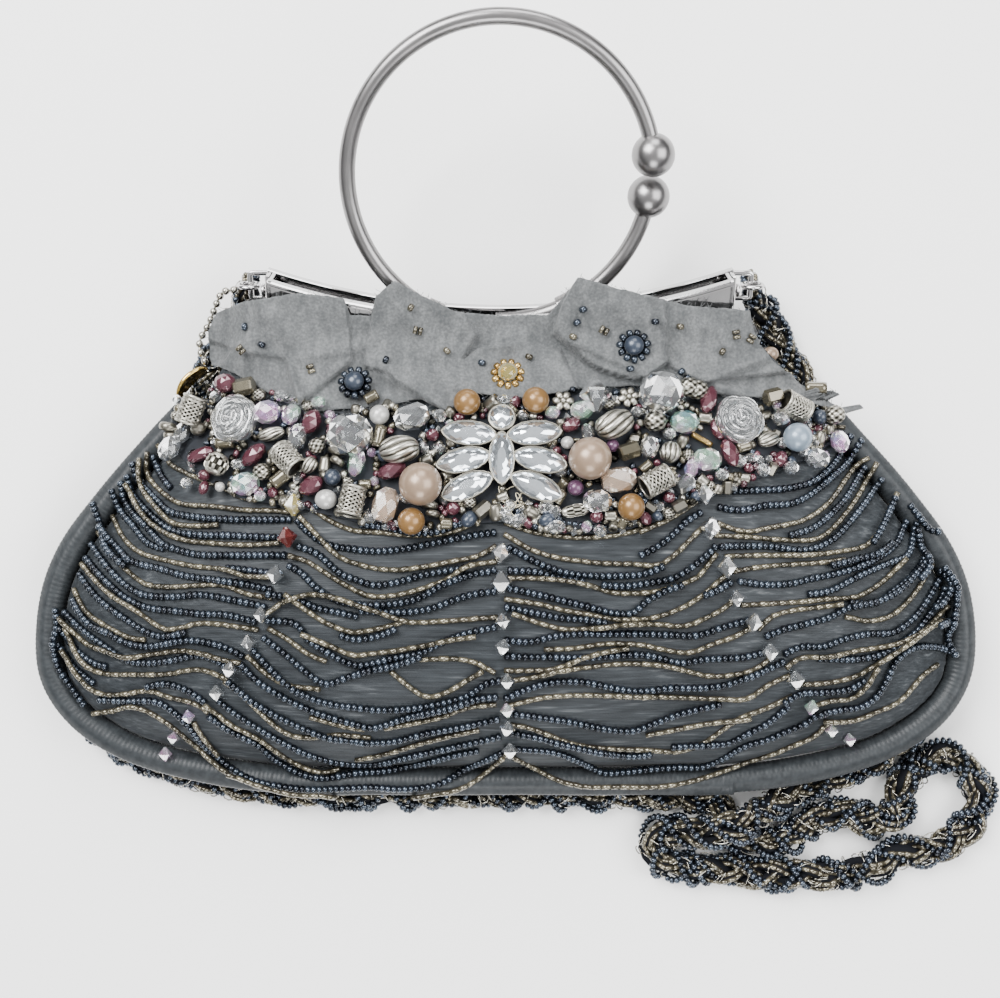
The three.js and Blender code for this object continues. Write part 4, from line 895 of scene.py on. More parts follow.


# The swags, charted on two enlarged views: corner in the photograph and units per pixel.
# Each row is a strand, N of navy seeds or C of champagne bugles, and the places it passes through.
CHARTS = {"left": ((20, 420), 3.136), "right": ((480, 400), 3.136)}
SWAGS = {"left": """
N 110,700 160,770 230,830
N 105,590 112,640 104,700 112,770 150,830 200,900
N 120,650 160,710 220,760 270,775
C 130,720 190,810 250,860 330,860 400,850 460,870 540,890 590,920
C 140,650 190,750 250,795 350,800 450,800 540,785 600,795 650,820
N 390,840 450,830 520,850 580,890
N 640,465 710,472 780,482
C 165,530 200,600 270,650 340,685 390,690
C 240,350 290,430 350,490 400,520 480,525 560,520 640,520 700,545 790,560
N 280,215 310,280 350,330 395,385 450,405
N 220,255 250,330 270,400 330,460
C 425,75 470,140 560,185 640,215 700,245 790,235 850,240
N 410,110 435,165 470,215
C 400,100 395,170 440,225 500,262 600,270 700,282 800,285 845,290
N 345,130 370,190 420,245 470,290 560,305 650,312 750,312 850,312
C 370,120 380,200 440,290 480,325 550,332 620,328
N 330,170 350,230 400,290 470,345 560,360 650,362 750,366 840,372
C 330,200 380,290 440,345 520,378 620,388 720,392 815,385
N 310,190 330,260 390,330 450,390 540,420 640,425 740,425 835,425
C 285,300 320,370 370,415 450,440 550,460 650,470 700,490 790,492
N 250,330 300,400 350,445 430,465 520,490 600,500 700,515 790,535
N 215,385 270,460 330,520 390,550 480,555 560,548 640,560 740,580 770,590
N 200,430 260,500 330,560 400,590 480,600 560,610 640,612 740,635
C 190,450 270,540 350,590 440,655 500,655 560,640 640,645 745,660
N 180,480 240,560 320,620 400,670 460,680 520,665
N 160,560 210,640 280,670 330,700 400,712 500,695 560,695 640,715 700,745
N 130,600 180,650 260,710 330,755 400,765 480,755 560,740 620,760 660,790
C 120,620 200,700 260,720 330,745 420,735 500,725 580,735 640,755 690,765
N 240,880 330,885 420,885 480,920 530,970 580,1030 640,1080 720,1130 800,1150 900,1162 1000,1160 1100,1155 1200,1160 1310,1145 1400,1095 1515,1045
C 220,925 290,915 350,900 420,930 480,970 540,1020 600,1070 650,1110
C 540,950 580,1010 625,1055
N 770,545 850,560 930,590 1000,605 1060,620
N 1060,600 1180,605 1280,595 1350,570 1420,548 1495,538
C 1140,972 1230,955 1320,935 1400,905 1495,895
C 1050,1070 1150,1050 1250,1020 1350,995 1440,975
C 905,935 1000,960 1080,975
C 1250,755 1340,750 1420,760 1490,795
C 1160,790 1220,840 1270,870 1330,860 1400,820 1450,790
C 775,655 840,690 900,735 960,760
C 885,255 960,310 1040,345 1130,352 1230,362 1320,358 1400,335 1450,300 1500,235
N 1060,325 1150,337 1220,352 1300,352 1380,325 1440,300
N 865,310 900,350 960,390 1040,405 1120,412 1200,405 1300,385 1400,365 1495,352
C 875,300 940,370 1000,430 1080,460 1160,472 1250,465 1350,445 1430,430 1495,395
N 865,395 930,420 1000,480 1060,505 1110,520 1180,510 1250,490 1330,475 1400,465
C 840,425 900,445 970,490 1040,530 1100,555 1180,550 1260,530 1340,500 1400,460 1495,445
N 835,455 880,480 930,530 1000,570 1080,580 1160,578 1250,560 1320,520 1400,490 1495,470
C 830,545 900,600 960,640 1040,668 1100,660 1150,650 1200,635
N 1000,675 1050,690 1120,680 1180,655
C 770,610 830,570 900,548 980,555 1060,580 1130,605 1220,635 1330,632 1420,625 1500,620
N 765,630 860,640 900,690 960,730 1030,765 1080,770 1160,750 1250,735 1320,700 1400,670 1495,650
C 880,670 970,710 1040,740 1100,735 1180,725 1260,710 1350,690 1430,680
N 755,680 820,730 880,780 920,810 960,830 1020,810 1100,785 1180,770 1260,740
C 710,740 770,800 840,835 940,845
N 725,720 790,790 870,855 960,890 1060,905 1150,912 1250,905 1330,890 1400,870 1460,830 1510,820
N 690,765 740,820 820,870 900,910 970,935 1060,960 1110,968 1200,940 1280,920 1350,905 1420,880 1500,870
C 640,820 700,870 760,930 830,985 900,1000 1000,990 1100,1000
N 650,815 720,880 790,925 860,960 920,985 1000,1005 1100,1015 1180,1010 1280,985 1360,970 1440,955 1505,940
N 615,880 680,930 760,980 850,1030 920,1060 1000,1080 1100,1085 1200,1065 1290,1045 1380,1025 1450,1010 1510,995
C 580,895 660,960 740,1000 810,1050 880,1090 950,1110 1000,1095
N 590,930 650,975 740,1020 800,1070 870,1110 950,1125 1050,1110 1160,1100 1260,1080 1360,1055 1440,1040
C 650,1110 760,1150 870,1178 960,1183 1100,1192 1250,1187 1350,1170 1420,1140 1470,1100 1515,1060
""", "right": """
C 60,320 150,320 250,330 300,335 360,350 420,375
N 85,345 160,372 240,380 330,395 400,400 460,380 520,345 580,320 660,300 695,290
C 75,385 170,415 260,428 350,432 450,420 540,395 600,360 670,325
C 500,415 580,380 640,345 680,318
C 75,420 160,470 240,495 330,508 420,515 480,515 560,520 620,480 680,420 715,385
N 500,490 560,460 610,420 650,380 700,350
N 85,460 180,510 260,540 340,552 440,552 520,545 580,520
N 85,535 180,540 240,560 330,570
C 80,560 170,560 260,565 340,580 420,605 520,605 600,590 680,560 710,530 745,480
N 380,580 450,585 530,575 610,560 660,530 710,490 745,455
N 85,590 180,610 260,630 340,650 420,670 480,670 520,635 580,600 640,580
C 75,625 180,640 260,660 340,675 430,690 520,690 600,670 680,630 740,580 775,550
N 75,650 180,670 260,685 340,690 400,700
C 100,670 200,705 280,722 360,715 460,705 560,705 640,710 700,690 760,660 805,625
N 700,615 740,600 795,570
N 75,755 160,760 220,745 300,735 400,735 500,735 600,738 680,740 760,715 850,690
C 200,785 300,780 400,765 500,768 580,785 660,795 740,765 800,745 855,715
N 75,805 160,808 240,808 330,810 400,805 500,800 560,808 630,825 700,815 760,812 820,810 890,795
C 75,850 160,850 240,845 320,810 400,790 470,780
C 90,885 180,870 250,850 340,840 430,830 520,830 600,838 660,855 720,868 790,865 860,850 910,815
N 75,940 160,905 240,885 330,885 400,900 500,915 600,905 700,905 780,895 860,865 920,840 960,820
C 75,965 180,940 270,930 400,930 520,932 640,935 750,940 840,940 900,900 975,865
N 85,985 200,1000 300,1015 400,1035 480,1040 540,1020 620,990 700,970 760,958
C 85,1020 150,1030 220,1055 300,1083 400,1095 520,1100 620,1105 700,1080 760,1040 820,1000 900,970 985,930
C 520,1055 600,1040 700,1020 780,1010 850,1000
N 90,1045 180,1062 280,1085 400,1110 480,1120 540,1110
N 600,1092 700,1085 780,1080 840,1050 900,1020 975,960
N 75,1095 200,1103 260,1115 320,1140 380,1170 450,1170 540,1160 620,1155 700,1155 760,1130 830,1090 900,1070 960,1045 1020,1020 1060,990
C 80,1110 180,1162 260,1200 340,1215 450,1215 560,1215 660,1200 760,1170 840,1140 920,1115 980,1090 1050,1060 1080,1030 1110,1010
C 700,250 790,235 860,220 930,195 980,160 1040,110 1090,85 1150,85
N 720,280 800,285 880,282 960,278 1040,260 1100,215 1140,160 1170,105
N 745,335 820,345 900,330 980,325 1050,290 1110,240 1160,190 1190,140 1205,120
C 720,375 780,400 840,415 920,400 1000,385 1060,355 1110,310 1150,250 1190,200 1225,180
C 735,425 850,430 940,438 1040,440 1090,420 1140,370 1190,300 1230,230 1250,195
N 970,425 1040,405 1090,370 1140,320 1180,260 1215,205
N 750,460 840,458 920,460 1000,470 1060,462 1120,430 1170,375 1220,310 1268,245
C 770,492 860,488 960,488 1060,485 1140,475 1210,460 1250,420 1280,360 1315,290
N 1230,450 1260,400 1290,330 1305,300
C 795,540 880,525 960,518 1060,512 1150,500
N 810,568 900,580 980,575 1040,560 1120,545 1200,520 1260,490 1310,450 1345,375
N 1100,520 1180,500 1250,480 1295,445
N 1030,610 1100,600 1160,570 1220,540 1290,510 1350,480 1375,380
C 820,645 920,640 1000,635 1100,625 1180,620 1240,590 1290,550 1335,495
N 1160,635 1240,640 1300,600 1350,560 1385,520 1410,480
N 895,745 960,720 1040,700 1110,680 1160,650 1250,630 1320,590 1395,505
C 875,725 920,680 990,660 1080,650 1140,640
C 1150,680 1220,695 1290,680 1340,640 1380,590 1425,515
N 955,800 1010,775 1080,775 1150,750 1220,735 1300,730 1360,690 1400,640 1445,560
N 1060,812 1180,815 1260,800 1310,770 1370,730 1410,680 1450,620 1465,585
C 960,840 1010,810 1100,805 1180,790 1290,770 1360,740 1420,700 1475,645
C 990,895 1090,890 1180,870 1250,830 1320,780 1400,715 1450,690
N 950,955 1000,925 1080,920 1160,910 1215,880
N 1060,990 1130,975 1200,965 1250,930 1280,880 1310,820 1360,780 1430,775 1485,790
C 1040,965 1110,945 1170,940 1210,900 1250,840
C 1080,1010 1170,1010 1250,980 1300,960 1340,930 1390,870 1440,830
N 1350,325 1385,375 1420,410 1450,412
N 1370,400 1385,460 1400,520 1375,560
N 1440,530 1480,580 1445,640 1420,650
N 1430,705 1490,690
N 1450,520 1490,580 1500,640 1480,700 1470,760 1492,805
"""}

# Corners of the column lines in photograph pixels, with each crystal's length in millimetres
COLUMNS = [
    (294, 505, 7.0, "yellow"), (288, 537, 5.8, "red"), (276, 574, 5.2, "clear"), (262, 614, 4.6, "clear"),
    (248, 643, 4.6, "clear"), (230, 669, 4.6, "clear"), (216, 693, 4.6, "clear"), (188, 717, 4.4, "iris"),
    (173, 738, 4.2, "iris"), (165, 754, 4.6, "iris"),
    (499, 512, 5.6, "clear"), (501, 553, 5.6, "clear"), (501, 582, 6.2, "clear"), (503, 621, 4.6, "clear"),
    (503, 647, 4.6, "clear"), (507, 681, 4.6, "clear"), (507, 710, 4.6, "iris"), (507, 728, 4.6, "clear"),
    (510, 750, 4.8, "clear"),
    (704, 494, 5.6, "clear"), (711, 528, 6.2, "clear"), (727, 567, 6.0, "clear"), (736, 598, 4.6, "clear"),
    (753, 622, 5.2, "clear"), (770, 652, 5.0, "clear"), (796, 680, 5.4, "clear"), (811, 707, 4.8, "iris"),
    (832, 731, 4.4, "iris"), (850, 740, 4.4, "iris"),
]


def chart_line(side, words):
    (corner_x, corner_y), scale = CHARTS[side]
    pairs = np.array([[float(v) for v in word.split(",")] for word in words])
    x, y, _ = photo_on_front(corner_x + pairs[:, 0] / scale, corner_y + pairs[:, 1] / scale)
    return np.stack([x, y], axis=1)


def string_beads(batch, path, shape, look, pitch, jitter=0.12):
    """Beads of one shape along a line, each turned along it with a little play."""
    line = spline(path, pitch) if len(path) > 2 else path
    middles = (line[1:] + line[:-1]) / 2
    ahead = np.diff(line, axis=0)
    ahead /= np.linalg.norm(ahead, axis=1, keepdims=True)
    ahead = ahead + rng.normal(0, jitter, ahead.shape)
    repeat(batch, shape, middles, turned(ahead), look, 0.94 + 0.12 * rng.random(len(middles)))


SEED_RADIUS, BUGLE_RADIUS = 1.05, 0.86
SEED_PITCH, BUGLE_PITCH = 1.72, 2.86
swag_pieces = {key: Batch() for key in ("left_navy", "left_champagne", "right_navy", "right_champagne")}
threads = Batch()
for side in ("left", "right"):
    for row in SWAGS[side].strip().splitlines():
        kind, *words = row.split()
        control = spline(chart_line(side, words), 0.5)
        wander = np.cumsum(rng.normal(0, 0.012, len(control)))
        control[:, 1] += wander - np.linspace(0, wander[-1], len(control))
        radius = SEED_RADIUS if kind == "N" else BUGLE_RADIUS
        laid = lay(control, radius)
        mark(laid, radius)
        if kind == "N":
            string_beads(swag_pieces[f"{side}_navy"], laid, SEED, NAVY, SEED_PITCH)
        else:
            string_beads(swag_pieces[f"{side}_champagne"], laid, BUGLE, CHAMPAGNE, BUGLE_PITCH, 0.04)
for key, batch in swag_pieces.items():
    batch.build(f"swag_{key}", "strap_beads")

columns = Batch()
COLUMN_LOOKS = {"clear": CLEAR, "iris": IRIS, "yellow": YELLOW, "red": RED}
for number, (px, py, length, look) in enumerate(COLUMNS):
    x, y, _ = photo_on_front(px, py)
    ahead = Vector((0.2 * math.sin(number * 2.1), -1, 0))
    i, j = int(round((x - fine_x[0]) / FINE)), int(round((y - fine_y[0]) / FINE))
    z = max(float(bilinear(heights, x, y)) + length * 0.4, float(stack[j, i]) + length * 0.2)
    width = 1.0 if look in ("clear", "red") else 0.9
    repeat(columns, BICONE, [(x, y, z)], turned([ahead]), COLUMN_LOOKS[look], length * width, smooth=False)
columns.build("column_crystals", "crystal_clear")


# Strap: three dark plies with bugle strands, navy strands wound over them, and wire loops, on the solid's route
STRAP_ROUTE = np.array([
    (-76.5, 83.9, 17.2), (-77, 84, 13.5), (-79.5, 80, 8.0), (-84, 72, 5.2), (-90, 60, 5), (-95, 47, 5),
    (-107, 31, 5), (-119.5, 15, 5), (-130, -1, 5), (-135.2, -18, 5), (-134.8, -35, 5),
    (-128.5, -48, 5), (-117.5, -58, 5), (-102, -65.5, 5), (-80, -70.5, 5), (-50, -72, 5),
    (-20, -72.4, 5), (10, -72.4, 5), (32, -72.6, 5), (48, -73, 5), (59, -74, 5),
    (67.5, -78, 5), (70.5, -84, 5), (77.5, -87.5, 5), (86.5, -86.5, 5), (94.5, -81.5, 5),
    (103.5, -79, 5), (114, -81.5, 5), (121.5, -78.5, 5), (122.5, -71, 5), (128.5, -64.5, 5),
    (136, -60.5, 5), (142.8, -64.5, 5), (146.4, -74, 5), (143, -84, 5), (133.5, -89.5, 5),
    (123, -91.5, 5), (113, -95.5, 5), (101, -98, 5), (89, -97.6, 5), (76.5, -97.6, 5),
    (64, -96, 5), (52, -94.5, 5), (45, -89.5, 5), (49.5, -84.4, 6), (59, -83.4, 12),
    (69, -80.6, 15.4), (79, -76.6, 10), (89, -72, 5.6), (97.5, -69.6, 5), (104.5, -66.6, 5),
    (112.5, -63, 5), (121.5, -55.5, 5), (129.5, -46, 5), (134.8, -35, 5), (135.2, -18, 5),
    (130, -1, 5), (119.5, 15, 5), (107, 31, 5), (95, 47, 5), (89, 60, 5),
    (82, 72, 5.2), (76.5, 80, 8.0), (74, 84, 13.5), (73.5, 83.9, 17.2)])
STRAP_SPLIT = 0.335
STRAP_STEP = 0.5
route = spline(STRAP_ROUTE, STRAP_STEP)
ahead = np.gradient(route, axis=0)
strap_frames = turned(ahead)
travel = np.arange(len(route)) * STRAP_STEP


def beside(side, up):
    return route + side[:, None] * strap_frames[:, :, 1] + up[:, None] * strap_frames[:, :, 2]


strap_batches = {"left": Batch(), "right": Batch()}
cut = int(len(route) * STRAP_SPLIT)
halves = (("left", slice(0, cut)), ("right", slice(cut + 1, len(route))))
STRAP_SEED = lathe([(-0.82, 0.55), (-0.3, 1.15), (0.3, 1.15), (0.82, 0.55)], 6)
STRAP_BUGLE = lathe([(-1.40, 0.72), (1.40, 0.72)], 6)
PLY_LENGTH = 30.0
PLIES, BUGLE_STRANDS, NAVY_STRANDS = 3, 2, 4
LOOP_PITCH, LOOP_CLEAR = 1.6, 9.0
taper = np.clip(np.minimum(travel, travel[-1] - travel) / 14, 0.4, 1)
turn8 = around(8)
for ply in range(PLIES):
    # A dark ply of the braid, with its bundle of champagne bugle strands
    phase = 2 * np.pi * (travel / PLY_LENGTH + ply / PLIES)
    side_way, up_way = 2.5 * taper * np.sin(phase), 1.6 * taper * np.sin(2 * phase)
    ply_line = beside(side_way, up_way)
    rough = 1.65 + 0.3 * np.sin(travel / 1.9 + ply)[:, None] * np.sin(turn8 * 3)[None, :]
    ply_core = np.stack([rough * np.cos(turn8), rough * np.sin(turn8)], axis=2)
    for side, part in halves:
        sweep(strap_batches[side], ply_line[part][::3], ply_core[part][::3], CORE)
    for strand in range(BUGLE_STRANDS):
        own = 1.0 * np.sin(travel / 9.0 + 2 * ply) + 1.15 * strand + 0.9
        line = beside(side_way + 1.95 * np.cos(own), up_way + 0.2 + 1.75 * np.sin(own))
        for side, part in halves:
            string_beads(strap_batches[side], line[part], STRAP_BUGLE, CHAMPAGNE, 2.9, 0.07)
# Navy strands wind loosely over the plies and stand off them at the bends
for strand in range(NAVY_STRANDS):
    wind = 2 * np.pi * travel / (23.0 + 3 * (strand % 2)) * (1 if strand < 3 else -1) + strand * 1.9
    wind = wind + 0.8 * np.sin(travel / 7.0 + strand)
    reach = taper * (3.5 + 0.9 * np.sin(travel / 5.3 + 2 * strand))
    line = beside(1.28 * reach * np.cos(wind), 0.98 * reach * np.sin(wind) + 0.2)
    for side, part in halves:
        string_beads(strap_batches[side], line[part], STRAP_SEED, NAVY, 1.8)
# Bullion wire: small irregular loops that stand on the plies
curl_turn = np.linspace(0, 2 * np.pi * 0.85, 9)
curl_rng = np.random.default_rng(31)
for place in np.arange(LOOP_CLEAR, travel[-1] - LOOP_CLEAR, LOOP_PITCH):
    k = int(place / STRAP_STEP)
    side = "left" if k < cut else "right"
    about, swing = curl_rng.uniform(-0.5, np.pi + 0.5), curl_rng.uniform(0, np.pi)
    wide, tall = curl_rng.uniform(1.3, 2.6), curl_rng.uniform(0.5, 1.3)
    seat = route[k] + strap_frames[k] @ [0, 3.9 * np.cos(about), 3.2 * np.sin(about)]
    flat_way = strap_frames[k] @ [np.cos(swing), np.sin(swing) * np.sin(about), -np.sin(swing) * np.cos(about)]
    out_way = strap_frames[k] @ [0.3, np.cos(about), np.sin(about)]
    loop = seat + wide * np.cos(curl_turn)[:, None] * flat_way + tall * np.sin(curl_turn)[:, None] * out_way
    loop[:, 2] = np.maximum(loop[:, 2], 0.4)
    sweep(strap_batches[side], loop, circle(0.23, 3), BULLION)
for side, _ in halves:
    strap_batches[side].build(f"strap_{side}_braid", "strap_beads", [f"strap_{side}"])


# Ball chain and its plain tag
CHAIN_ROUTE = np.array([(-80.8, 80.6, 22.0), (-84.5, 80, 20.5), (-87, 76.5, 18.0), (-89.5, 71.5, 15.5),
                        (-92.4, 67, 14.2), (-92.6, 63.6, 14.1), (-91.1, 60.2, 14.2)])
piece = Batch()
chain_line = spline(CHAIN_ROUTE, 2.7)
link_ball = lathe(profile_ball(2.3, 2.3, 9), 12)
chain_ahead = np.gradient(chain_line, axis=0)
repeat(piece, link_ball, chain_line, turned(chain_ahead), BULLION)
sweep(piece, spline(CHAIN_ROUTE, 0.9), circle(0.35, 6), BULLION)
piece.build("tag_chain_balls", "frame_metal", ["tag_chain"])
piece = Batch()
TAG_SPAN = (13.0, 8.0)
TAG_PROFILE = [(0.0, 0.9), (0.15, 0.97), (0.7, 1.0), (1.25, 0.97), (1.4, 0.9), (1.3, 0.84), (1.3, 0.0)]
TAG_LEAN, TAG_TURN, TAG_PLACE = 84, 48, (-96.2, 54.6, 14.0)
rim_turn = around(48)
tag_rings = [np.stack([TAG_SPAN[0] / 2 * share * np.cos(rim_turn), TAG_SPAN[1] / 2 * share * np.sin(rim_turn),
                       np.full(48, level)], axis=1) for level, share in TAG_PROFILE]
tag_points = np.concatenate(tag_rings)
tag_points[:, 2] += 0.035 * tag_points[:, 0] ** 2 - 0.5
lean, swing = Matrix.Rotation(math.radians(TAG_LEAN), 3, "X"), Matrix.Rotation(math.radians(TAG_TURN), 3, "Z")
tag_points = tag_points @ np.array(swing @ lean).T + TAG_PLACE
tag_faces = grid_faces(len(tag_rings), 48, wrap=True)
piece.add(tag_points, [tag_faces, np.arange(48)[::-1][None, :]], TAG_GOLD)
piece.build("chain_tag_plate", "tag_metal", ["chain_tag"])


# Chiffon band, its outline in photograph pixels: top edge and hem, left to right
CHIFFON_TOP = [(209, 358), (209, 332), (218, 312), (243, 301), (300, 293), (344, 298), (350, 315), (370, 316),
               (375, 299), (395, 282), (425, 298), (455, 312), (500, 316), (548, 315), (560, 301), (577, 280),
               (612, 290), (650, 299),
               (690, 308), (749, 312), (753, 336), (772, 362), (800, 384), (846, 410)]
CHIFFON_HEM = [(212, 364), (222, 368), (240, 377), (262, 390), (284, 403), (302, 411), (318, 412), (336, 410),
               (362, 408),
               (392, 404), (420, 400), (449, 412), (468, 394), (500, 396), (530, 396), (556, 392), (585, 386),
               (620, 384), (660, 384), (695, 386), (722, 393), (764, 397), (808, 402), (848, 413)]
# Layers of the gathered cloth: corners in photograph pixels, and height over what is under them
LAYERS = [
    (1.5, [(372, 320), (376, 296), (395, 278), (430, 298), (462, 312), (478, 335), (463, 360), (470, 392),
           (450, 413),
           (425, 398), (400, 383), (385, 372), (364, 367), (366, 345)]),
    (1.0, [(463, 360), (480, 348), (520, 342), (560, 350), (580, 392), (540, 405), (476, 410), (470, 392)]),
    (2.4, [(578, 276), (612, 288), (664, 300), (666, 364), (645, 379), (620, 377), (594, 368), (572, 352),
           (553, 333),
           (562, 305)]),
    (1.2, [(664, 300), (752, 310), (755, 340), (790, 372), (740, 378), (702, 383), (668, 366)]),
    (1.0, [(206, 300), (300, 288), (345, 296), (350, 330), (352, 362), (300, 404), (286, 360), (240, 352),
           (206, 340)]),
]
# Creases: two ends in photograph pixels, width in millimetres, height
CREASES = [
    (288, 358, 302, 407, 1.5, 0.9), (290, 360, 371, 345, 2.0, 0.6), (369, 367, 449, 414, 1.2, 0.8),
    (372, 360, 440, 392, 2.2, 0.7), (380, 352, 462, 356, 3.0, 0.5), (230, 318, 260, 360, 2.5, 0.5),
    (260, 305, 300, 350, 3.0, 0.5), (400, 300, 430, 350, 3.5, 0.6), (420, 372, 462, 390, 1.6, 0.6),
    (556, 338, 640, 373, 0.9, 0.9), (566, 336, 655, 366, 1.6, 0.6), (600, 300, 655, 330, 3.0, 0.4),
    (664, 310, 666, 366, 0.9, 1.0), (700, 382, 770, 356, 1.6, 0.8), (690, 320, 740, 350, 3.0, 0.5),
    (745, 394, 808, 396, 1.4, 0.7), (699, 380, 745, 394, 1.4, 0.8), (480, 345, 530, 338, 2.6, 0.4),
    (500, 330, 545, 372, 3.0, 0.4), (470, 362, 478, 400, 1.2, 0.7),
]
CHIFFON_COLUMNS, CHIFFON_ROWS = 300, 44
LAYER_SHARE, CREASE_SHARE = 1.9, 2.4
PIXEL = 0.29  # millimetres at the cloth's height
STRAP_TOP = 18.5
FACE_Y = FRAME_MIDDLE[1] - (FRAME_DEPTH / 2 + 0.3) * math.sin(TILT)
FACE_Z = FRAME_MIDDLE[2] + (FRAME_DEPTH / 2 + 0.3) * math.cos(TILT)


def drape_height(x, y):
    over_panel = bilinear(heights, x, y) + 0.6
    over_frame = FACE_Z + (y - FACE_Y) * math.tan(TILT)
    beyond = np.maximum(np.abs(x - FRAME_MIDDLE[0]) - FRAME_LENGTH / 2 - 2, 0)
    lift = np.where(y > 55.35, over_frame - 0.8 * beyond, 0)
    over_strap = np.where((x < -74) | ((x > 72) & (y > 50)), STRAP_TOP, 0)
    return np.maximum(np.maximum(over_panel, over_strap), lift)


def pixel_line(points, count):
    return spline(np.array(points, float), count, by_gap=False)


def polyline(points, count):
    points = np.array(points, float)
    lengths = np.concatenate([[0], np.cumsum(np.linalg.norm(np.diff(points, axis=0), axis=1))])
    at = np.linspace(0, lengths[-1], count)
    return np.stack([np.interp(at, lengths, points[:, k]) for k in (0, 1)], axis=1)


def inside_by(points, corners, soft):
    """0 outside a polygon, 1 inside, over a soft edge, all in pixels."""
    corners = np.array(corners, float)
    inside = np.zeros(points.shape[:-1], bool)
    nearest = np.full(points.shape[:-1], 1e9)
    for a, b in zip(corners, np.roll(corners, -1, axis=0)):
        edge = b - a
        crosses = (a[1] > points[..., 1]) != (b[1] > points[..., 1])
        at = a[0] + (points[..., 1] - a[1]) * edge[0] / (edge[1] if abs(edge[1]) > 1e-9 else 1e-9)
        inside ^= crosses & (points[..., 0] < at)
        share = np.clip(((points - a) @ edge) / (edge @ edge), 0, 1)
        nearest = np.minimum(nearest, np.linalg.norm(points - a - share[..., None] * edge, axis=-1))
    signed = np.where(inside, nearest, -nearest)
    return np.clip(0.5 + signed / (2 * soft), 0, 1)


top_line = polyline(CHIFFON_TOP, CHIFFON_COLUMNS)
hem_line = pixel_line(CHIFFON_HEM, CHIFFON_COLUMNS)
fray = np.cumsum(rng.normal(0, 0.35, (2, CHIFFON_COLUMNS)), axis=1)
fray = (fray - np.linspace(fray[:, 0], fray[:, -1], CHIFFON_COLUMNS).T) * 0.35
fray += rng.normal(0, 0.25, (2, CHIFFON_COLUMNS))
top_line[:, 1] += fray[0]
hem_line[:, 1] += fray[1]
share = np.linspace(0, 1, CHIFFON_ROWS)[:, None, None]
pixels = hem_line[None] * (1 - share) + top_line[None] * share
cx, cy = from_photo(pixels[..., 0], pixels[..., 1], 34.0)
for _ in range(4):
    base = drape_height(cx, cy)
    cx, cy = from_photo(pixels[..., 0], pixels[..., 1], base + 2)
base = drape_height(cx, cy)
for _ in range(40):
    padded = np.pad(base, 1, mode="edge")
    mean = (padded[:-2, 1:-1] + padded[2:, 1:-1] + padded[1:-1, :-2] + padded[1:-1, 2:]) / 4
    base = np.maximum(base, mean)
cz = base + 1.0
for height, corners in LAYERS:
    cz += LAYER_SHARE * height * inside_by(pixels, corners, 1.0)
for ax, ay, bx, by, width, height in CREASES:
    a, edge = np.array([ax, ay], float), np.array([bx - ax, by - ay], float)
    along = np.clip(((pixels - a) @ edge) / (edge @ edge), 0, 1)
    away = np.linalg.norm(pixels - a - along[..., None] * edge, axis=-1) * PIXEL
    fade = np.clip(4 * along, 0, 1) * np.clip(4 * (1 - along) + 0.3, 0, 1)
    cz += CREASE_SHARE * height * fade * np.exp(-(away / width) ** 2)
cz += 0.22 * np.sin(cx / 3.1 + 1.4 * np.sin(cy / 5.0)) * np.sin(cy / 4.0 + np.sin(cx / 7.0))
cz += 0.10 * np.sin(cx / 1.3 + cy / 2.1 + 2 * np.sin(cx / 6.0))
chiffon = np.stack([cx, cy, cz], axis=2)
piece = Batch()
shell(piece, chiffon, CHIFFON_WALL, CHIFFON)
# Frayed threads along the cut edges
for edge_row, push in ((-1, 1.0), (0, -0.6)):
    for _ in range(150):
        k = int(rng.integers(2, CHIFFON_COLUMNS - 2))
        start = chiffon[edge_row, k]
        tip = start + [rng.normal(0, 0.9), push * rng.uniform(0.4, 1.6), rng.uniform(-0.3, 0.7)]
        bend = (start + tip) / 2 + rng.normal(0, 0.3, 3)
        sweep(piece, spline(np.array([start, bend, tip]), 5, by_gap=False), circle(0.07, 3), CHIFFON)
front_chiffon = piece.build("front_chiffon_gathered", "chiffon", ["front_chiffon"])
chiffon_bvh = BVHTree.FromPolygons([tuple(p) for p in chiffon.reshape(-1, 3)],
                                   [tuple(int(v) for v in f) for f in grid_faces(CHIFFON_ROWS, CHIFFON_COLUMNS)])

# Back of the band: plain chiffon on the outside of the back plate
across = np.linspace(1, -1, 140)[None, :] * FRAME_LENGTH / 2
rise = np.linspace(0, 1, 14)[:, None]
up = frame_bottom(across) + 0.8 + (FRAME_HEIGHT - 2) * rise + 0.15 * np.sin(across * 1.7) * (rise - 0.5)
out = -FRAME_DEPTH / 2 - 1.1 + 0.14 * np.sin(across / 1.9 + 2 * rise) - 0.1
piece = Batch()
shell(piece, on_frame(across, up, out), CHIFFON_WALL, CHIFFON)
back_chiffon = piece.build("back_chiffon_band", "chiffon", ["back_chiffon"])


def over_chiffon(px, py, lift):
    """A place in millimetres on top of the chiffon, from photograph pixels."""
    z = 35.0
    for _ in range(4):
        x, y = from_photo(px, py, z)
        hit = chiffon_bvh.ray_cast(Vector((x, y, 200)), Vector((0, 0, -1)))
        z = hit[0].z if hit[0] is not None else float(drape_height(np.array(x), np.array(y)))
    return np.array([x, y, z + lift])


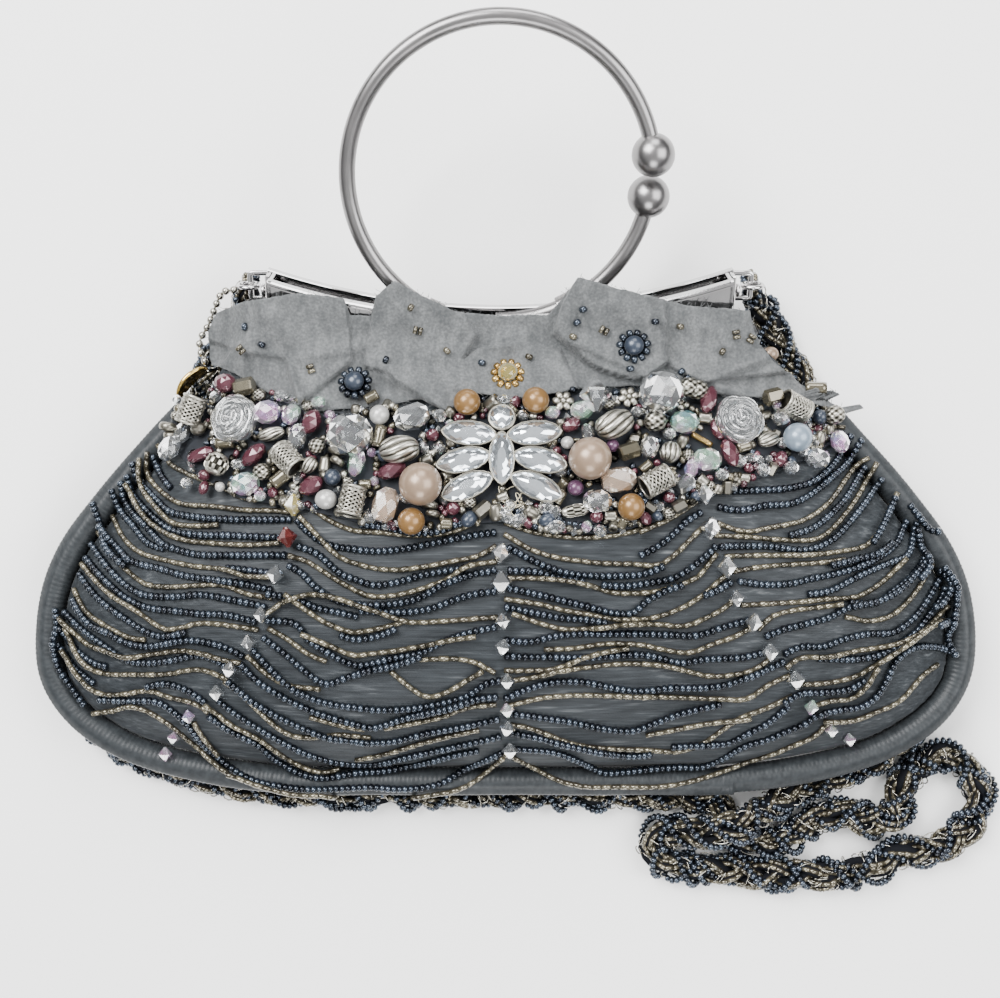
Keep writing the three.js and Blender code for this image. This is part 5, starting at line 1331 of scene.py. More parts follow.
# Bead work: forms of unit size, set square to the pouch
def form_grid(rows, columns, radius_at, cap=1.45):
    """A closed round form about X from a radius for each angle from end to end and round it."""
    along = np.linspace(-cap, cap, rows)[:, None]
    turn = around(columns)[None, :]
    radius, tone = radius_at(along, turn)
    x = np.sin(along) / math.sin(cap) / 2 * np.ones_like(radius)
    points = np.stack([x, radius * np.cos(turn), radius * np.sin(turn)], axis=2).reshape(-1, 3)
    points = np.concatenate([points, [[x[0, 0] * 0.97, 0, 0], [x[-1, 0] * 0.97, 0, 0]]])
    ring = np.arange(columns)
    after = (ring + 1) % columns
    first, last, end = rows * columns, rows * columns + 1, (rows - 1) * columns
    faces = [grid_faces(rows, columns, wrap=True)[:, ::-1],
             np.concatenate([np.stack([np.full(columns, first), ring, after], axis=1),
                             np.stack([np.full(columns, last), end + after, end + ring], axis=1)])]
    tones = np.concatenate([np.broadcast_to(tone, radius.shape).ravel(), [0.0, 0.0]])
    return points, faces, tones


def round_form(along, turn):
    return 0.5 * np.cos(along) + 0 * turn, 0.5


def ribbed_form(along, turn):
    rib = np.abs(np.sin(4.5 * (turn + 0.55 * np.sin(along))))
    body = 0.5 * np.cos(along) ** 0.75
    return body * (0.80 + 0.20 * rib ** 0.6), np.clip(rib * 1.3, 0, 1)


def dotted_form(along, turn):
    dots = np.cos(turn * 8) * np.cos(along * 7)
    return 0.5 * np.cos(along) ** 0.8 * (0.90 + 0.10 * np.clip(dots, -0.4, 1)), np.clip(0.55 + 0.6 * dots, 0, 1)


def key_form(along, turn):
    band = np.abs(along) < 0.75
    square = np.sign(np.sin(turn * 9) * np.sin(along * 6 + 0.6))
    return 0.5 * np.cos(along) ** 0.5 * (0.93 + 0.07 * square * band), np.where(band, 0.45 + 0.4 * square, 0.85)


def facet_band(low, count, half_turned):
    """Three-sided facets from a ring of corners to the next one, which lies half a side further or back."""
    ring, high = np.arange(count), low + count
    after, before = (ring + 1) % count, (ring - 1) % count
    if half_turned:
        return [np.stack([low + ring, low + after, high + after], axis=1),
                np.stack([low + ring, high + after, high + ring], axis=1)]
    return [np.stack([low + ring, low + after, high + ring], axis=1),
            np.stack([low + ring, high + ring, high + before], axis=1)]


def faceted_form(rows, sides, power=1.0):
    """Flat facets between rings of corners, each ring turned half a side from the last."""
    angles = np.linspace(-1.25, 1.25, rows)
    points, faces = [], []
    for j, angle in enumerate(angles):
        turn = (np.arange(sides) + 0.5 * (j % 2)) * 2 * np.pi / sides
        radius = 0.5 * math.cos(angle) ** power
        points.append(np.stack([np.full(sides, math.sin(angle) / math.sin(1.25) / 2), radius * np.cos(turn),
                                radius * np.sin(turn)], axis=1))
    for j in range(rows - 1):
        faces += facet_band(j * sides, sides, j % 2)
    points += [[[-0.47, 0, 0]], [[0.47, 0, 0]]]
    first = rows * sides
    ring = np.arange(sides)
    after = (ring + 1) % sides
    faces.append(np.stack([np.full(sides, first), after, ring], axis=1))
    top = (rows - 1) * sides
    faces.append(np.stack([np.full(sides, first + 1), top + ring, top + after], axis=1))
    return np.concatenate(points), [np.concatenate(faces)[:, ::-1]], 0.5


def prism_form(shape):
    points, faces = lathe(shape, 6)
    return points, faces, 0.5


FORMS = {
    "pearl": (form_grid(17, 28, round_form), True),
    "ribbed": (form_grid(25, 72, ribbed_form), True),
    "dotted": (form_grid(22, 48, dotted_form), True),
    "key": (form_grid(22, 72, key_form), False),
    "facets": (faceted_form(7, 10), False),
    "oval": (faceted_form(6, 8, 0.8), False),
    "nugget": (faceted_form(5, 7, 0.6), False),
    "drop": (faceted_form(6, 7, 1.1), False),
    "cube": (prism_form([(-0.5, 0.42), (-0.42, 0.5), (0.42, 0.5), (0.5, 0.42)]), False),
    "tube": (form_grid(5, 12, lambda along, turn: (0.5 + 0 * along + 0 * turn, 0.6), 1.2), True),
    "bicone": (prism_form([(-0.5, 0.1), (-0.04, 0.5), (0.04, 0.5), (0.5, 0.1)]), False),
    "disc": (form_grid(9, 20, lambda along, turn: (0.5 * np.cos(along) ** 0.35 + 0 * turn, 0.5)), True),
}


def set_bead(batch, form, centre, along, up, size, look):
    """One bead: its form stretched to length, width and depth, and turned to lie along and face up."""
    (points, faces, tones), smooth = FORMS[form]
    frame_turn = turned([along], up)[0]
    placed = (np.asarray(points) * size) @ frame_turn.T + centre
    batch.add(placed, faces, look, tones, smooth)


def lie(centre, turn):
    """The pouch's normal at a place, and the direction in its face at a turn seen from the front."""
    up = normals_at(np.array(centre[0]), np.array(centre[1]))
    flat = np.array([math.cos(math.radians(turn)), math.sin(math.radians(turn)), 0.0])
    along = flat - up * flat.dot(up)
    return up, along / np.linalg.norm(along)


def rose(batch, centre, along, up, size, look):
    """A carved rose: petals in three turned rings round a bud, on a shallow round back."""
    rings, steps = 44, 120
    share = np.linspace(0, 1, rings)[:, None]
    turn = around(steps)[None, :]
    height = np.sqrt(np.clip(1 - (share * 0.96) ** 2, 0, 1)) * 0.62 + 0 * turn
    outer = 0.5 * (1 - 0.07 * (1 - np.abs(np.cos(2.5 * turn))) * share ** 3)
    for low, high, petals, shift in ((0.0, 0.22, 3, 0.2), (0.22, 0.46, 4, 0.9), (0.46, 0.74, 5, 0.3),
                                     (0.74, 1.0, 6, 1.2)):
        inside = np.clip((share - low) / (high - low), 0, 1)
        lobe = np.abs(np.cos(petals / 2 * (turn + shift + share * 1.3)))
        band = (share >= low) & (share < high)
        height = height + np.where(band, 0.13 * (inside ** 0.7) * lobe ** 0.35 - 0.10 * np.exp(-inside / 0.18), 0)
    radius = outer * share
    top = np.stack([radius * np.cos(turn), radius * np.sin(turn), 0.5 * height - 0.12], axis=2)
    depth = -0.28 * np.sqrt(np.clip(1 - share ** 4, 0, 1)) - 0.10 + 0 * turn
    below = np.stack([radius * np.cos(turn), radius * np.sin(turn), depth], axis=2)
    frame_turn = turned([along], up)[0]
    points = np.concatenate([top.reshape(-1, 3), below[::-1].reshape(-1, 3)]) * size
    faces = grid_faces(2 * rings, steps, wrap=True)
    batch.add(points @ frame_turn.T + centre, [faces], look, 0.6)


def filigree(batch, centre, along, up, length, width):
    """A pierced silver tube: crossed wires round a dark core, a rim at each end and grains between."""
    frame_turn = turned([along], up)[0]
    core_points, core_faces = lathe([(-0.46, 0.30), (-0.44, 0.43), (0.44, 0.43), (0.46, 0.30)], 16)
    batch.add((core_points * (length, width, width)) @ frame_turn.T + centre, core_faces, SILVER, 0.0)
    share = np.linspace(-0.42, 0.42, 13)
    for hand in (1, -1):
        for k in range(11):
            turn = hand * share * 4.2 + k * 2 * np.pi / 11
            bulge = width * (0.455 - 0.08 * share ** 2)
            line = np.stack([share * length, bulge * np.cos(turn), bulge * np.sin(turn)], axis=1)
            sweep(batch, line @ frame_turn.T + centre, circle(0.24, 5), SILVER, 0.75)
    for end, thick in ((-0.45, 0.45), (-0.33, 0.24), (0.33, 0.24), (0.45, 0.45)):
        turn = around(24)
        rim = 0.44 * width
        line = np.stack([np.full(24, end * length), rim * np.cos(turn), rim * np.sin(turn)], axis=1)
        sweep(batch, line @ frame_turn.T + centre, circle(thick, 6), SILVER, 0.8, closed=True)
    grain = lathe(profile_ball(0.9, 0.9, 5), 6)
    turn = around(7)
    for level in (-0.24, 0.0, 0.24):
        places = np.stack([np.full(7, level * length), 0.46 * width * np.cos(turn + level * 3.4),
                           0.46 * width * np.sin(turn + level * 3.4)], axis=1)
        repeat(batch, grain, places @ frame_turn.T + centre, np.broadcast_to(np.eye(3), (7, 3, 3)), SILVER, 1.0,
               np.full(7, 0.95))


def daisy(batch, centre, along, up, size):
    frame_turn = turned([along], up)[0]
    rings, steps = 12, 60
    share = np.linspace(0.28, 1, rings)[:, None]
    turn = around(steps)[None, :]
    lobe = np.abs(np.cos(3 * turn))
    radius = size / 2 * share * (1 - 0.30 * (1 - lobe ** 0.6) * share ** 2)
    height = 0.9 * np.sin(np.pi * np.clip(share * 0.9, 0, 1)) * (0.55 + 0.45 * lobe ** 0.5)
    top = np.stack([radius * np.cos(turn), radius * np.sin(turn), height], axis=2)
    below = top * (1, 1, -0.6)
    points = np.concatenate([top.reshape(-1, 3), below[::-1].reshape(-1, 3)])
    tone = np.broadcast_to(0.25 + 0.65 * lobe * np.sin(np.pi * share * 0.8), radius.shape)
    tones = np.concatenate([tone.ravel(), tone[::-1].ravel()])
    faces = [grid_faces(2 * rings, steps, wrap=True, wrap_rows=True)]
    batch.add(points @ frame_turn.T + centre, faces, SILVER, tones)
    points, faces = lathe(profile_ball(1.7, 1.7, 7), 10)
    batch.add(points @ frame_turn.T + centre + np.array(up) * 0.4, faces, SILVER, 0.8)


def navette(batch, centre, along, up, length, width, depth, look):
    """A pointed oval stone with a small table in rings of three-sided facets, in a rubbed metal cup."""
    frame_turn = turned([along], up)[0]
    count = 16

    def outline(shift):
        turn = (np.arange(count) + shift) * 2 * np.pi / count
        return np.stack([np.sign(np.cos(turn)) * np.abs(np.cos(turn)) ** 0.9 * length / 2,
                         np.sin(turn) * np.abs(np.sin(turn)) ** 0.35 * width / 2], axis=1)

    rings = [(0.30, -0.50, 0), (1.0, -0.10, 0), (1.0, 0.04, 0), (0.80, 0.24, 0.5), (0.56, 0.40, 0),
             (0.34, 0.50, 0.5)]
    points = np.concatenate([np.column_stack([outline(shift) * share, np.full(count, level * depth)])
                             for share, level, shift in rings] + [[[0, 0, 0.50 * depth]]])
    quads = grid_faces(3, count, wrap=True)
    ring = np.arange(count)
    after = (ring + 1) % count
    facets = []
    for j in range(2, len(rings) - 1):
        facets += facet_band(j * count, count, rings[j][2] != 0)
    top = (len(rings) - 1) * count
    facets.append(np.stack([top + ring, top + after, np.full(count, len(points) - 1)], axis=1))
    faces = [np.concatenate(facets), quads, ring[::-1][None, :]]
    batch.add(points @ frame_turn.T + centre, faces, look, 0.55, smooth=False)
    cup = [(0.90, -0.62), (1.05, -0.30), (1.09, 0.02), (1.05, 0.10), (0.99, 0.06), (0.94, -0.25)]
    points = np.concatenate([np.column_stack([outline(0) * share, np.full(count, level * depth)])
                             for share, level in cup])
    batch.add(points @ frame_turn.T + centre, [grid_faces(len(cup), count, wrap=True), ring[::-1][None, :]],
              SILVER, 0.55)


# Main beads, one for each solid, with sizes in millimetres: length, width and depth
SIZES = {"rose": (15.0, 15.0, 12.0), "daisy": 6.4, "crystal": (12.6, 12.6, 12), "pearl": (12, 12, 12),
         "gold_pearl": (7.6, 7.6, 7.6), "blue_pearl": (8.4, 8.4, 8.2), "ribbed": (11.2, 8, 8), "bicone": (11, 9, 9),
         "lump": (9.8, 8, 7), "nugget": (9.6, 7.6, 6.6), "filigree": (8.6, 7.4), "oval": (8, 7, 6.4),
         "drop": (8.2, 4.9, 4.9), "ball": (6, 6, 6)}
MAIN = [  # node, kind, turn, form, finish, slot
    ("round_crystal_left", "crystal", 0, "facets", CLEAR, "crystal_clear"),
    ("round_crystal_right", "crystal", 30, "facets", CLEAR, "crystal_clear"),
    ("large_pearl_left", "pearl", 70, "pearl", ROSE_PEARL, "pearl_champagne"),
    ("large_pearl_right", "pearl", 20, "pearl", ROSE_PEARL, "pearl_champagne"),
    ("gold_pearl_upper_left", "gold_pearl", 0, "pearl", GOLD_PEARL, "pearl_gold"),
    ("gold_pearl_upper_right", "gold_pearl", 0, "pearl", GOLD_PEARL, "pearl_gold"),
    ("gold_pearl_lower_left", "gold_pearl", 40, "pearl", GOLD_PEARL, "pearl_gold"),
    ("gold_pearl_lower_right", "gold_pearl", 70, "pearl", GOLD_PEARL, "pearl_gold"),
    ("ribbed_bead_left", "ribbed", 5, "ribbed", SILVER, "bead_silver"),
    ("ribbed_bead_right", "ribbed", 25, "ribbed", SILVER, "bead_silver"),
    ("bicone_crystal", "bicone", 90, "bicone", CLEAR, "crystal_clear"),
    ("clear_lump", "lump", 20, "nugget", CLEAR, "crystal_clear"),
    ("nugget_left", "nugget", 75, "nugget", PEACH, "crystal_peach"),
    ("nugget_right", "nugget", 10, "nugget", PEACH, "crystal_peach"),
    ("blue_pearl", "blue_pearl", 0, "pearl", BLUE_PEARL, "pearl_blue"),
    ("oval_crystal_left", "oval", 0, "oval", IRIS, "crystal_iris"),
    ("oval_crystal_right", "oval", 0, "oval", IRIS, "crystal_iris"),
    ("oval_crystal_low", "oval", 0, "oval", CLEAR, "crystal_clear"),
    ("oval_crystal_lilac", "oval", 0, "oval", IRIS, "crystal_iris"),
    ("mauve_drop_left", "drop", 45, "drop", MAUVE, "glass_mauve"),
    ("mauve_drop_upper_right", "drop", 70, "drop", MAUVE, "glass_mauve"),
    ("mauve_drop_lower_right", "drop", 110, "drop", MAUVE, "glass_mauve"),
    ("silver_ball", "ball", 0, "dotted", SILVER, "bead_silver"),
]
taken = []


def middle(node):
    low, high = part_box(node)
    return np.array((low + high) / 2) / MM


for node, kind, turn, form, look, slot in MAIN:
    centre = middle(node)
    up, along = lie(centre, turn)
    piece = Batch()
    set_bead(piece, form, centre, along, up, SIZES[kind], look)
    piece.build(f"{node}_bead", slot, [node])
    taken.append((centre[0], centre[1], max(SIZES[kind]) / 2))
SHAPED = [  # nodes and their turns, slot, radius kept clear, how each is made
    ((("carved_rose_left", 20), ("carved_rose_right", 200)), "crystal_clear", 7.5,
     lambda *seat: rose(*seat, np.array(SIZES["rose"]), FROST)),
    ((("filigree_tube_low_left", 80), ("filigree_tube_low_right", 30), ("filigree_tube_far_left", 70),
      ("filigree_tube_far_right", -20), ("filigree_tube_left", -45)), "bead_silver", 4.5,
     lambda *seat: filigree(*seat, *SIZES["filigree"])),
    ((("daisy_left", 0), ("daisy_right", 15)), "bead_silver", 3.3, lambda *seat: daisy(*seat, SIZES["daisy"])),
]
for nodes, slot, clear, make in SHAPED:
    for node, turn in nodes:
        centre = middle(node)
        up, along = lie(centre, turn)
        piece = Batch()
        make(piece, centre, along, up)
        piece.build(f"{node}_bead", slot, [node])
        taken.append((centre[0], centre[1], clear))

# Brooch: a round stone and seven navettes, placed by shares of its span, with their turns
BROOCH_SPAN = 15.4
NAVETTE = (15.0, 7.0, 4.6)
ROUND_STONE = (7.0, 7.0, 4.6)
STONE_AT = 0.68
STONE_REACH = 3.5
BROOCH = [(0.0, -0.08, 90), (0.60, 0.38, 5), (0.70, -0.12, -13), (0.63, -0.60, -24),
          (-0.60, 0.38, -5), (-0.70, -0.12, 13), (-0.63, -0.60, 24)]
low, high = (np.array(corner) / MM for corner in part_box("brooch"))
brooch_middle = np.array([(low[0] + high[0]) / 2, high[1] - STONE_REACH - STONE_AT * BROOCH_SPAN, 0])
piece = Batch()
for across, up_share, turn in BROOCH:
    x = brooch_middle[0] + across * BROOCH_SPAN
    y = brooch_middle[1] + up_share * BROOCH_SPAN
    centre = np.array([x, y, float(bilinear(heights, x, y)) + 5.2])
    up, along = lie(centre, turn)
    navette(piece, centre, along, up, *NAVETTE, STONE)
x, y = brooch_middle[0], brooch_middle[1] + STONE_AT * BROOCH_SPAN
centre = np.array([x, y, float(bilinear(heights, x, y)) + 5.4])
up, along = lie(centre, 0)
(points, faces, _), _ = FORMS["facets"]
stone_points = (points[:, [1, 2, 0]] * ROUND_STONE) @ turned([along], up)[0].T + centre
piece.add(stone_points, faces, STONE, 0.5, smooth=False)
ring_turn = around(24)
cup = np.stack([3.6 * np.cos(ring_turn), 3.6 * np.sin(ring_turn), np.full(24, -0.4)], axis=1)
sweep(piece, cup @ turned([along], up)[0].T + centre, circle(0.55, 6), SILVER, 0.6, closed=True)
stem = [np.array([brooch_middle[0] + a * BROOCH_SPAN, brooch_middle[1] + b * BROOCH_SPAN]) for a, b in
        ((0, STONE_AT), (0, 0.3), (0, -0.3), (0, -0.6))]
for across, up_share, _ in BROOCH[1:]:
    spoke = np.array([(0.0, up_share * 0.6), (across * 0.45, up_share * 0.85), (across, up_share)])
    line = np.column_stack([brooch_middle[:2] + spoke * BROOCH_SPAN, np.zeros(3)])
    line[:, 2] = bilinear(heights, line[:, 0], line[:, 1]) + 3.4
    sweep(piece, spline(line, 1.0), circle(0.8, 6), SILVER, 0.5)
line = np.array([(*p, float(bilinear(heights, *p)) + 3.4) for p in stem])
sweep(piece, spline(line, 1.0), circle(0.9, 6), SILVER, 0.5)
piece.build("brooch_stones", "crystal_clear", ["brooch"])
taken += [(brooch_middle[0] + a * BROOCH_SPAN * s, brooch_middle[1] + b * BROOCH_SPAN, 4.0)
          for a, b, _ in BROOCH for s in (0.5, 1.0)]

# Rosettes: a middle in a ring of seeds, sewn to the chiffon
SEED_RING = 3.85
for node, inner, outer_look, slot in (("rosette_left", NAVY_PEARL, NAVY, "glass_navy"),
                                      ("rosette_middle", YELLOW, GOLD, "glass_navy"),
                                      ("rosette_right", NAVY_PEARL, NAVY, "glass_navy")):
    low, high = (np.array(corner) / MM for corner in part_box(node))
    centre = (low + high) / 2
    up, along = lie(centre, 10)
    frame_turn = turned([along], up)[0]
    piece = Batch()
    set_bead(piece, "facets" if inner is YELLOW else "pearl", centre + up * 0.5, along, up, (5.6, 5.6, 4.6), inner)
    turn = around(11)
    places = np.stack([SEED_RING * np.cos(turn), SEED_RING * np.sin(turn), np.full(11, -1.0)], axis=1)
    places = places @ frame_turn.T + centre
    ahead = np.stack([-np.sin(turn), np.cos(turn), np.zeros(11)], axis=1) @ frame_turn.T
    repeat(piece, SEED, places, turned(ahead), outer_look, 1.12)
    disc_points, disc_faces = lathe([(-0.5, 3.6), (0.2, 3.8), (0.5, 3.4)], 20)
    piece.add(disc_points[:, [1, 2, 0]] @ frame_turn.T + centre - up * 1.7, disc_faces, CORE, 0.5)
    piece.build(f"{node}_beads", slot, [node])


# Small beads of the band, read off the photograph: form, finish, middle, length and width in its pixels, and turn
SMALL = """
oval IRIS 271 417 27 25 0, oval IRIS 294 419 21 19 60, drop MAUVE 314 426 25 20 70
pearl SILVER_PEARL 381 420 20 20 0, tube CHAMPAGNE 380 440 22 13 80, drop MAUVE 393 474 29 18 20
drop IRIS 358 466 29 18 80, disc SILVER 337 455 8 16 60, disc SILVER 339 465 8 16 60
pearl NAVY_PEARL 334 481 17 17 0, oval CLEAR 300 441 26 20 80, dotted SILVER 319 450 17 17 30
ribbed SILVER 274 438 27 14 10, ribbed SILVER 311 469 18 16 40, tube CHAMPAGNE 228 447 18 12 0
nugget MAUVE 204 459 27 14 15, key SILVER 222 470 22 24 70, dotted SILVER 265 476 18 18 0
tube CHAMPAGNE 282 482 18 14 40, facets CLEAR 299 482 10 10 0, drop MAUVE 313 489 25 19 30
pearl SILVER_PEARL 328 503 22 20 0, facets CLEAR 407 500 16 14 0, disc SILVER 430 508 8 18 80
disc SILVER 433 516 7 15 80, facets MAUVE 453 511 14 14 0, dotted SILVER 470 505 13 13 0
oval CLEAR 188 440 26 18 80, facets SILVER 203 435 15 15 0, facets CLEAR 206 384 26 21 80
facets MAUVE 230 382 22 20 0, cube CHAMPAGNE 248 387 20 18 10, disc SILVER 169 427 9 19 80
disc SILVER 172 436 8 17 80, oval CLEAR 177 455 28 22 70, facets MAUVE 207 479 12 12 0
facets MAUVE 206 491 14 10 80, facets CLEAR 190 487 12 12 0, pearl SILVER_PEARL 222 490 10 10 0
facets IRIS 262 499 12 12 0, facets CLEAR 440 420 14 14 0, dotted SILVER 262 396 13 13 0
facets CLEAR 283 398 15 13 0, facets IRIS 320 406 15 13 20, tube CHAMPAGNE 372 401 14 11 30
facets MAUVE 433 438 13 13 0, tube CHAMPAGNE 366 487 12 10 0, facets CLEAR 440 452 12 12 0
pearl NAVY_PEARL 385 459 13 13 0, facets CLEAR 371 520 13 12 0, facets IRIS 581 416 23 20 10
drop MAUVE 571 428 19 14 30, dotted SILVER 695 394 21 21 0, cube CHAMPAGNE 769 398 18 17 15
tube CHAMPAGNE 818 400 21 13 -10, pearl NAVY_PEARL 820 417 15 15 0, facets CLEAR 776 423 18 18 0
ribbed SILVER 765 444 23 15 15, tube CHAMPAGNE 741 450 15 12 20, tube GOLD 701 442 23 6 -30
dotted SILVER 653 426 22 22 0, facets CLEAR 668 437 14 13 0, oval CLEAR 648 451 23 20 80
ribbed SILVER 668 457 21 21 60, cube CHAMPAGNE 628 455 20 17 20, pearl PLUM_PEARL 612 449 13 13 0
pearl PLUM_PEARL 575 491 16 16 0, drop IRIS 690 472 22 15 70, cube FROST 683 487 18 17 30
key SILVER 575 513 28 13 10, facets MAUVE 596 519 13 13 0, oval CLEAR 812 464 25 22 0
oval IRIS 833 449 23 20 80, facets CLEAR 788 472 15 15 0, facets CLEAR 761 474 14 14 0
facets CLEAR 737 465 15 14 0, dotted SILVER 834 415 20 20 0, facets IRIS 552 417 15 14 0
facets CLEAR 636 416 13 12 0, tube CHAMPAGNE 645 470 13 10 40, facets CLEAR 720 478 14 14 0
drop MAUVE 716 433 22 15 110, facets IRIS 775 408 12 12 0, facets CLEAR 800 455 13 12 0
pearl SILVER_PEARL 567 446 13 13 0, facets CLEAR 604 466 12 12 0, facets CLEAR 560 474 14 13 0
facets MAUVE 668 500 12 12 0, tube CHAMPAGNE 559 500 14 11 60, facets CLEAR 727 420 12 12 0
dotted SILVER 608 409 12 12 0, facets CLEAR 780 447 12 12 0
"""
FINISHES = {"CHAMPAGNE": CHAMPAGNE, "CLEAR": CLEAR, "FROST": FROST, "GOLD": GOLD, "IRIS": IRIS, "MAUVE": MAUVE,
            "NAVY_PEARL": NAVY_PEARL, "PLUM_PEARL": PLUM_PEARL, "SILVER": SILVER, "SILVER_PEARL": SILVER_PEARL}
# Lower and upper edge of the beaded band, as shares of the body's half width and height
FIELD_LOWER = [(-0.700, 0.790), (-0.640, 0.730), (-0.540, 0.675), (-0.400, 0.650), (-0.300, 0.625), (-0.180, 0.600),
               (-0.080, 0.620), (0.000, 0.625), (0.100, 0.600), (0.210, 0.600), (0.320, 0.630), (0.420, 0.680),
               (0.520, 0.720), (0.620, 0.760), (0.690, 0.800)]
FIELD_UPPER = [(-0.70, 0.905), (-0.62, 0.935), (-0.55, 0.915), (-0.42, 0.880), (-0.35, 0.843), (-0.26, 0.873),
               (-0.16, 0.843), (-0.05, 0.878), (0.08, 0.878), (0.15, 0.903), (0.33, 0.888), (0.49, 0.868),
               (0.59, 0.848), (0.69, 0.835)]
lower_line, upper_line = np.array(FIELD_LOWER), np.array(FIELD_UPPER)
GROUND_RISE = 1.7


def field_span(x):
    across = x / HALF
    return (BODY_BOTTOM + np.interp(across, *lower_line.T) * BODY_HEIGHT,
            BODY_BOTTOM + np.interp(across, *upper_line.T) * BODY_HEIGHT)


halves = {"left": Batch(), "right": Batch()}
for side, start, stop in (("left", -0.70, -0.004), ("right", 0.004, 0.69)):
    across = np.linspace(start, stop, 90)[None, :] * HALF
    low, high = field_span(across)
    share = np.linspace(0, 1, 40)[:, None]
    y = low + (high - low) * share
    x = np.broadcast_to(across, y.shape)
    z = bilinear(heights, x, y) + GROUND_RISE + 0.12 * np.sin(x * 2.3 + 2 * np.sin(y)) * np.cos(y * 2.1)
    shell(halves[side], np.stack([x, y, z], axis=2), GROUND_WALL, GROUND)
for row in SMALL.strip().replace("\n", ", ").split(", "):
    form, finish, *numbers = row.split()
    px, py, length, width, turn = (float(number) for number in numbers)
    x, y, z = (float(v) for v in photo_on_front(px, py, 4.0))
    scale = (CAMERA_HEIGHT - z) / FOCAL
    size = np.array([length, width, width * (0.9 if form in ("oval", "drop", "nugget") else 1.0)]) * scale
    up, along = lie((x, y), turn)
    centre = np.array([x, y, float(bilinear(heights, x, y))]) + up * (1.9 + size[2] / 2)
    set_bead(halves["left" if x < 0 else "right"], form, centre, along, up, size, FINISHES[finish])
    taken.append((x, y, max(size[:2]) / 2))

# Middling beads and then seeds that fill the gaps, tipped any way
MIDDLING = [("facets", CLEAR), ("dotted", SILVER), ("tube", CHAMPAGNE), ("facets", MAUVE), ("cube", SILVER),
            ("facets", IRIS), ("pearl", NAVY_PEARL), ("disc", SILVER), ("tube", SILVER), ("facets", FROST)]
FILL = [(SEED, SILVER, 1.0), (SEED, NAVY, 1.0), (SEED, CHAMPAGNE, 1.05), (BICONE, CLEAR, 2.6), (SEED, MAUVE, 1.0),
        (BUGLE, CHAMPAGNE, 0.75), (SEED, SILVER, 1.2)]
spots = np.array(taken)
fill_rng = np.random.default_rng(23)
MIDDLING_TRIES, ALL_TRIES = 5000, 15000
for attempt in range(ALL_TRIES):
    large = attempt < MIDDLING_TRIES
    x = fill_rng.uniform(-0.69, 0.68) * HALF
    low, high = field_span(x)
    y = fill_rng.uniform(low + (0.8 if large else 0.2), high + 1.5)
    size = fill_rng.uniform(2.6, 4.2) if large else 1.5
    if (np.hypot(spots[:, 0] - x, spots[:, 1] - y) - spots[:, 2]).min() < size * (0.36 if large else 0.30):
        continue
    direction = fill_rng.normal(size=3) * (1, 1, 0.5)
    half = halves["left" if x < 0 else "right"]
    ground = float(bilinear(heights, x, y)) + GROUND_RISE
    if large:
        form, look = MIDDLING[fill_rng.integers(len(MIDDLING))]
        shape = np.array([size * fill_rng.uniform(0.9, 1.35), size, size])
        set_bead(half, form, np.array([x, y, ground + size * 0.45]), direction, (0, 0, 1), shape, look)
    else:
        shape, look, scale = FILL[fill_rng.integers(len(FILL))]
        centre = np.array([x, y, ground + fill_rng.uniform(0.4, 1.6)])
        repeat(half, shape, [centre], turned([direction]), look, scale, [fill_rng.random()],
               smooth=shape is not BICONE)
    spots = np.vstack([spots, [x, y, size * 0.45]])
halves["left"].build("bead_field_left_beads", "mixed_beads", ["bead_field_left"])
halves["right"].build("bead_field_right_beads", "mixed_beads", ["bead_field_right"])

# Beads on the back, in a row below its mouth, on their strip
STRIP_ROWS, STRIP_RISE = slice(86, 97), 2.1
strip = back[STRIP_ROWS, 3:-3][::-1]
normal = np.cross(np.gradient(strip, axis=1), np.gradient(strip, axis=0))
normal /= np.maximum(np.linalg.norm(normal, axis=2, keepdims=True), 1e-9)
normal *= np.where(normal[:, :, 2:3] > 0, -1.0, 1.0)
piece = Batch()
shell(piece, (strip + normal * STRIP_RISE)[::-1], GROUND_WALL, GROUND)
row = spline((strip + normal * STRIP_RISE)[5], 5.1)
row_normal = spline(normal[5], len(row), by_gap=False)
BACK_ROW = [("facets", MAUVE, 6.2), ("drop", MAUVE, 6.8), ("dotted", SILVER, 4.6), ("facets", RED, 5.6),
            ("pearl", ROSE_PEARL, 5.4), ("facets", MAUVE, 6.4), ("tube", CHAMPAGNE, 4.8)]
for k, (spot, out) in enumerate(zip(row, row_normal)):
    form, look, size = BACK_ROW[k % len(BACK_ROW)]
    shape = (size, size * 0.85, size * 0.85)
    set_bead(piece, form, spot + out * size * 0.38, [1, 0.25 * math.sin(k), 0.1], out, shape, look)
piece.build("back_bead_row", "glass_mauve", ["back_bead_band"])

# Seeds and bugles tacked over the chiffon, from the photograph
tacks = Batch()
for look, spots_px in ((NAVY, [(245, 327), (386, 360), (482, 363), (583, 310), (577, 323), (630, 369), (681, 372),
                               (687, 378), (262, 345), (655, 322)]),
                       (CHAMPAGNE, [(411, 308), (573, 337), (680, 327), (447, 351), (529, 357), (722, 352)])):
    for px, py in spots_px:
        centre = over_chiffon(px, py, 0.75)
        repeat(tacks, SEED, [centre], turned([[math.cos(px), math.sin(px), 0.1]]), look, 1.05)
PAIRS = [(241, 350, 40), (311, 369, 20), (751, 339, -30), (736, 335, 10), (604, 331, 60), (418, 331, 75)]
for px, py, turn in PAIRS:
    for shift in (-0.75, 0.75):
        centre = over_chiffon(px, py, 0.7)
        ahead = np.array([math.cos(math.radians(turn)), math.sin(math.radians(turn)), 0.05])
        side = np.array([-ahead[1], ahead[0], 0])
        repeat(tacks, BUGLE, [centre + side * shift], turned([ahead]), CHAMPAGNE, 0.8)
tacks.build("chiffon_tacks", "strap_beads")

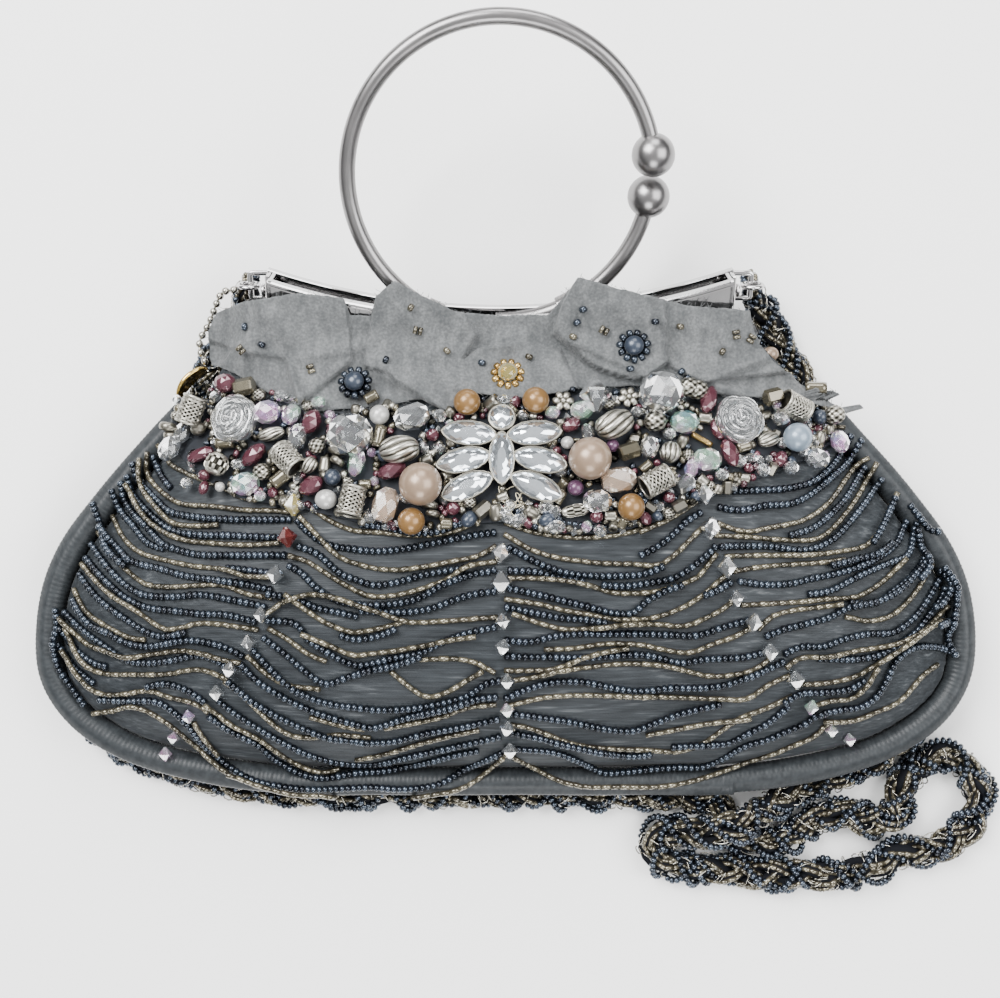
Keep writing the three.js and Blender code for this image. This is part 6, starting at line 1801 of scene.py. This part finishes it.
# Cream thread left loose under the brooch
for start, bend in (((498, 497), (6, 14)), ((507, 493), (-8, 10)), ((514, 499), (5, 9)), ((503, 505), (11, -7))):
    loop = [(start[0] + bend[0] * math.sin(k * 1.1) + k * 1.6, start[1] + bend[1] * math.cos(k * 0.9) + k * 0.8)
            for k in range(8)]
    x, y, z = photo_on_front([p[0] for p in loop], [p[1] for p in loop], 3.0)
    line = spline(np.column_stack([x, y, z + 0.5 * np.sin(np.arange(8) * 1.7)]), 0.5)
    sweep(threads, line, circle(0.16, 5), THREAD)
threads.build("cream_thread", "strap_beads")


# Floor, light and world, in metres
FLOOR_SIZE = 6
FLOOR_COLOUR = (0.93, 0.93, 0.925, 1)


def stage_and_light():
    bpy.ops.mesh.primitive_plane_add(size=FLOOR_SIZE, location=(0, 0, 0))
    floor = bpy.context.object
    floor.name = "floor"
    mat, nodes, links, shader = node_tree("pale_floor")
    shader.inputs["Base Color"].default_value = FLOOR_COLOUR
    shader.inputs["Roughness"].default_value = 0.9
    floor.data.materials.append(mat)
    lights = [  # name, place, aim, size, watts
        ("key_box", (-0.55, 0.55, 1.0), (0, 0, 0), 0.7, 34.0),
        ("fill_box", (0.75, 0.05, 0.9), (0, 0, 0), 0.8, 16.0),
        ("low_box", (0.0, -0.85, 0.55), (0, 0, 0), 0.5, 7.0),
        ("back_box", (0.1, 0.95, 0.6), (0, 0.05, 0), 0.5, 8.0),
    ]
    for name, place, aim, size, watts in lights:
        data = bpy.data.lights.new(name, "AREA")
        data.size = size
        data.energy = watts
        lamp = bpy.data.objects.new(name, data)
        lamp.location = place
        lamp.rotation_euler = (Vector(aim) - Vector(place)).to_track_quat("-Z", "Y").to_euler()
        bpy.context.scene.collection.objects.link(lamp)
    world = bpy.data.worlds.new("studio")
    world.use_nodes = True
    bpy.context.scene.world = world
    nodes, links = world.node_tree.nodes, world.node_tree.links
    place = nodes.new("ShaderNodeTexCoord")
    split = nodes.new("ShaderNodeSeparateXYZ")
    links.new(place.outputs["Generated"], split.inputs["Vector"])
    colour = ramp(nodes, links, split.outputs["Z"], [(0.0, (0.12, 0.125, 0.13)), (0.30, (0.20, 0.205, 0.21)),
                                                     (0.62, (0.80, 0.81, 0.82)), (1.0, (1.0, 1.0, 1.0))])
    links.new(colour, nodes["Background"].inputs["Color"])
    nodes["Background"].inputs["Strength"].default_value = 1.0


stage_and_light()
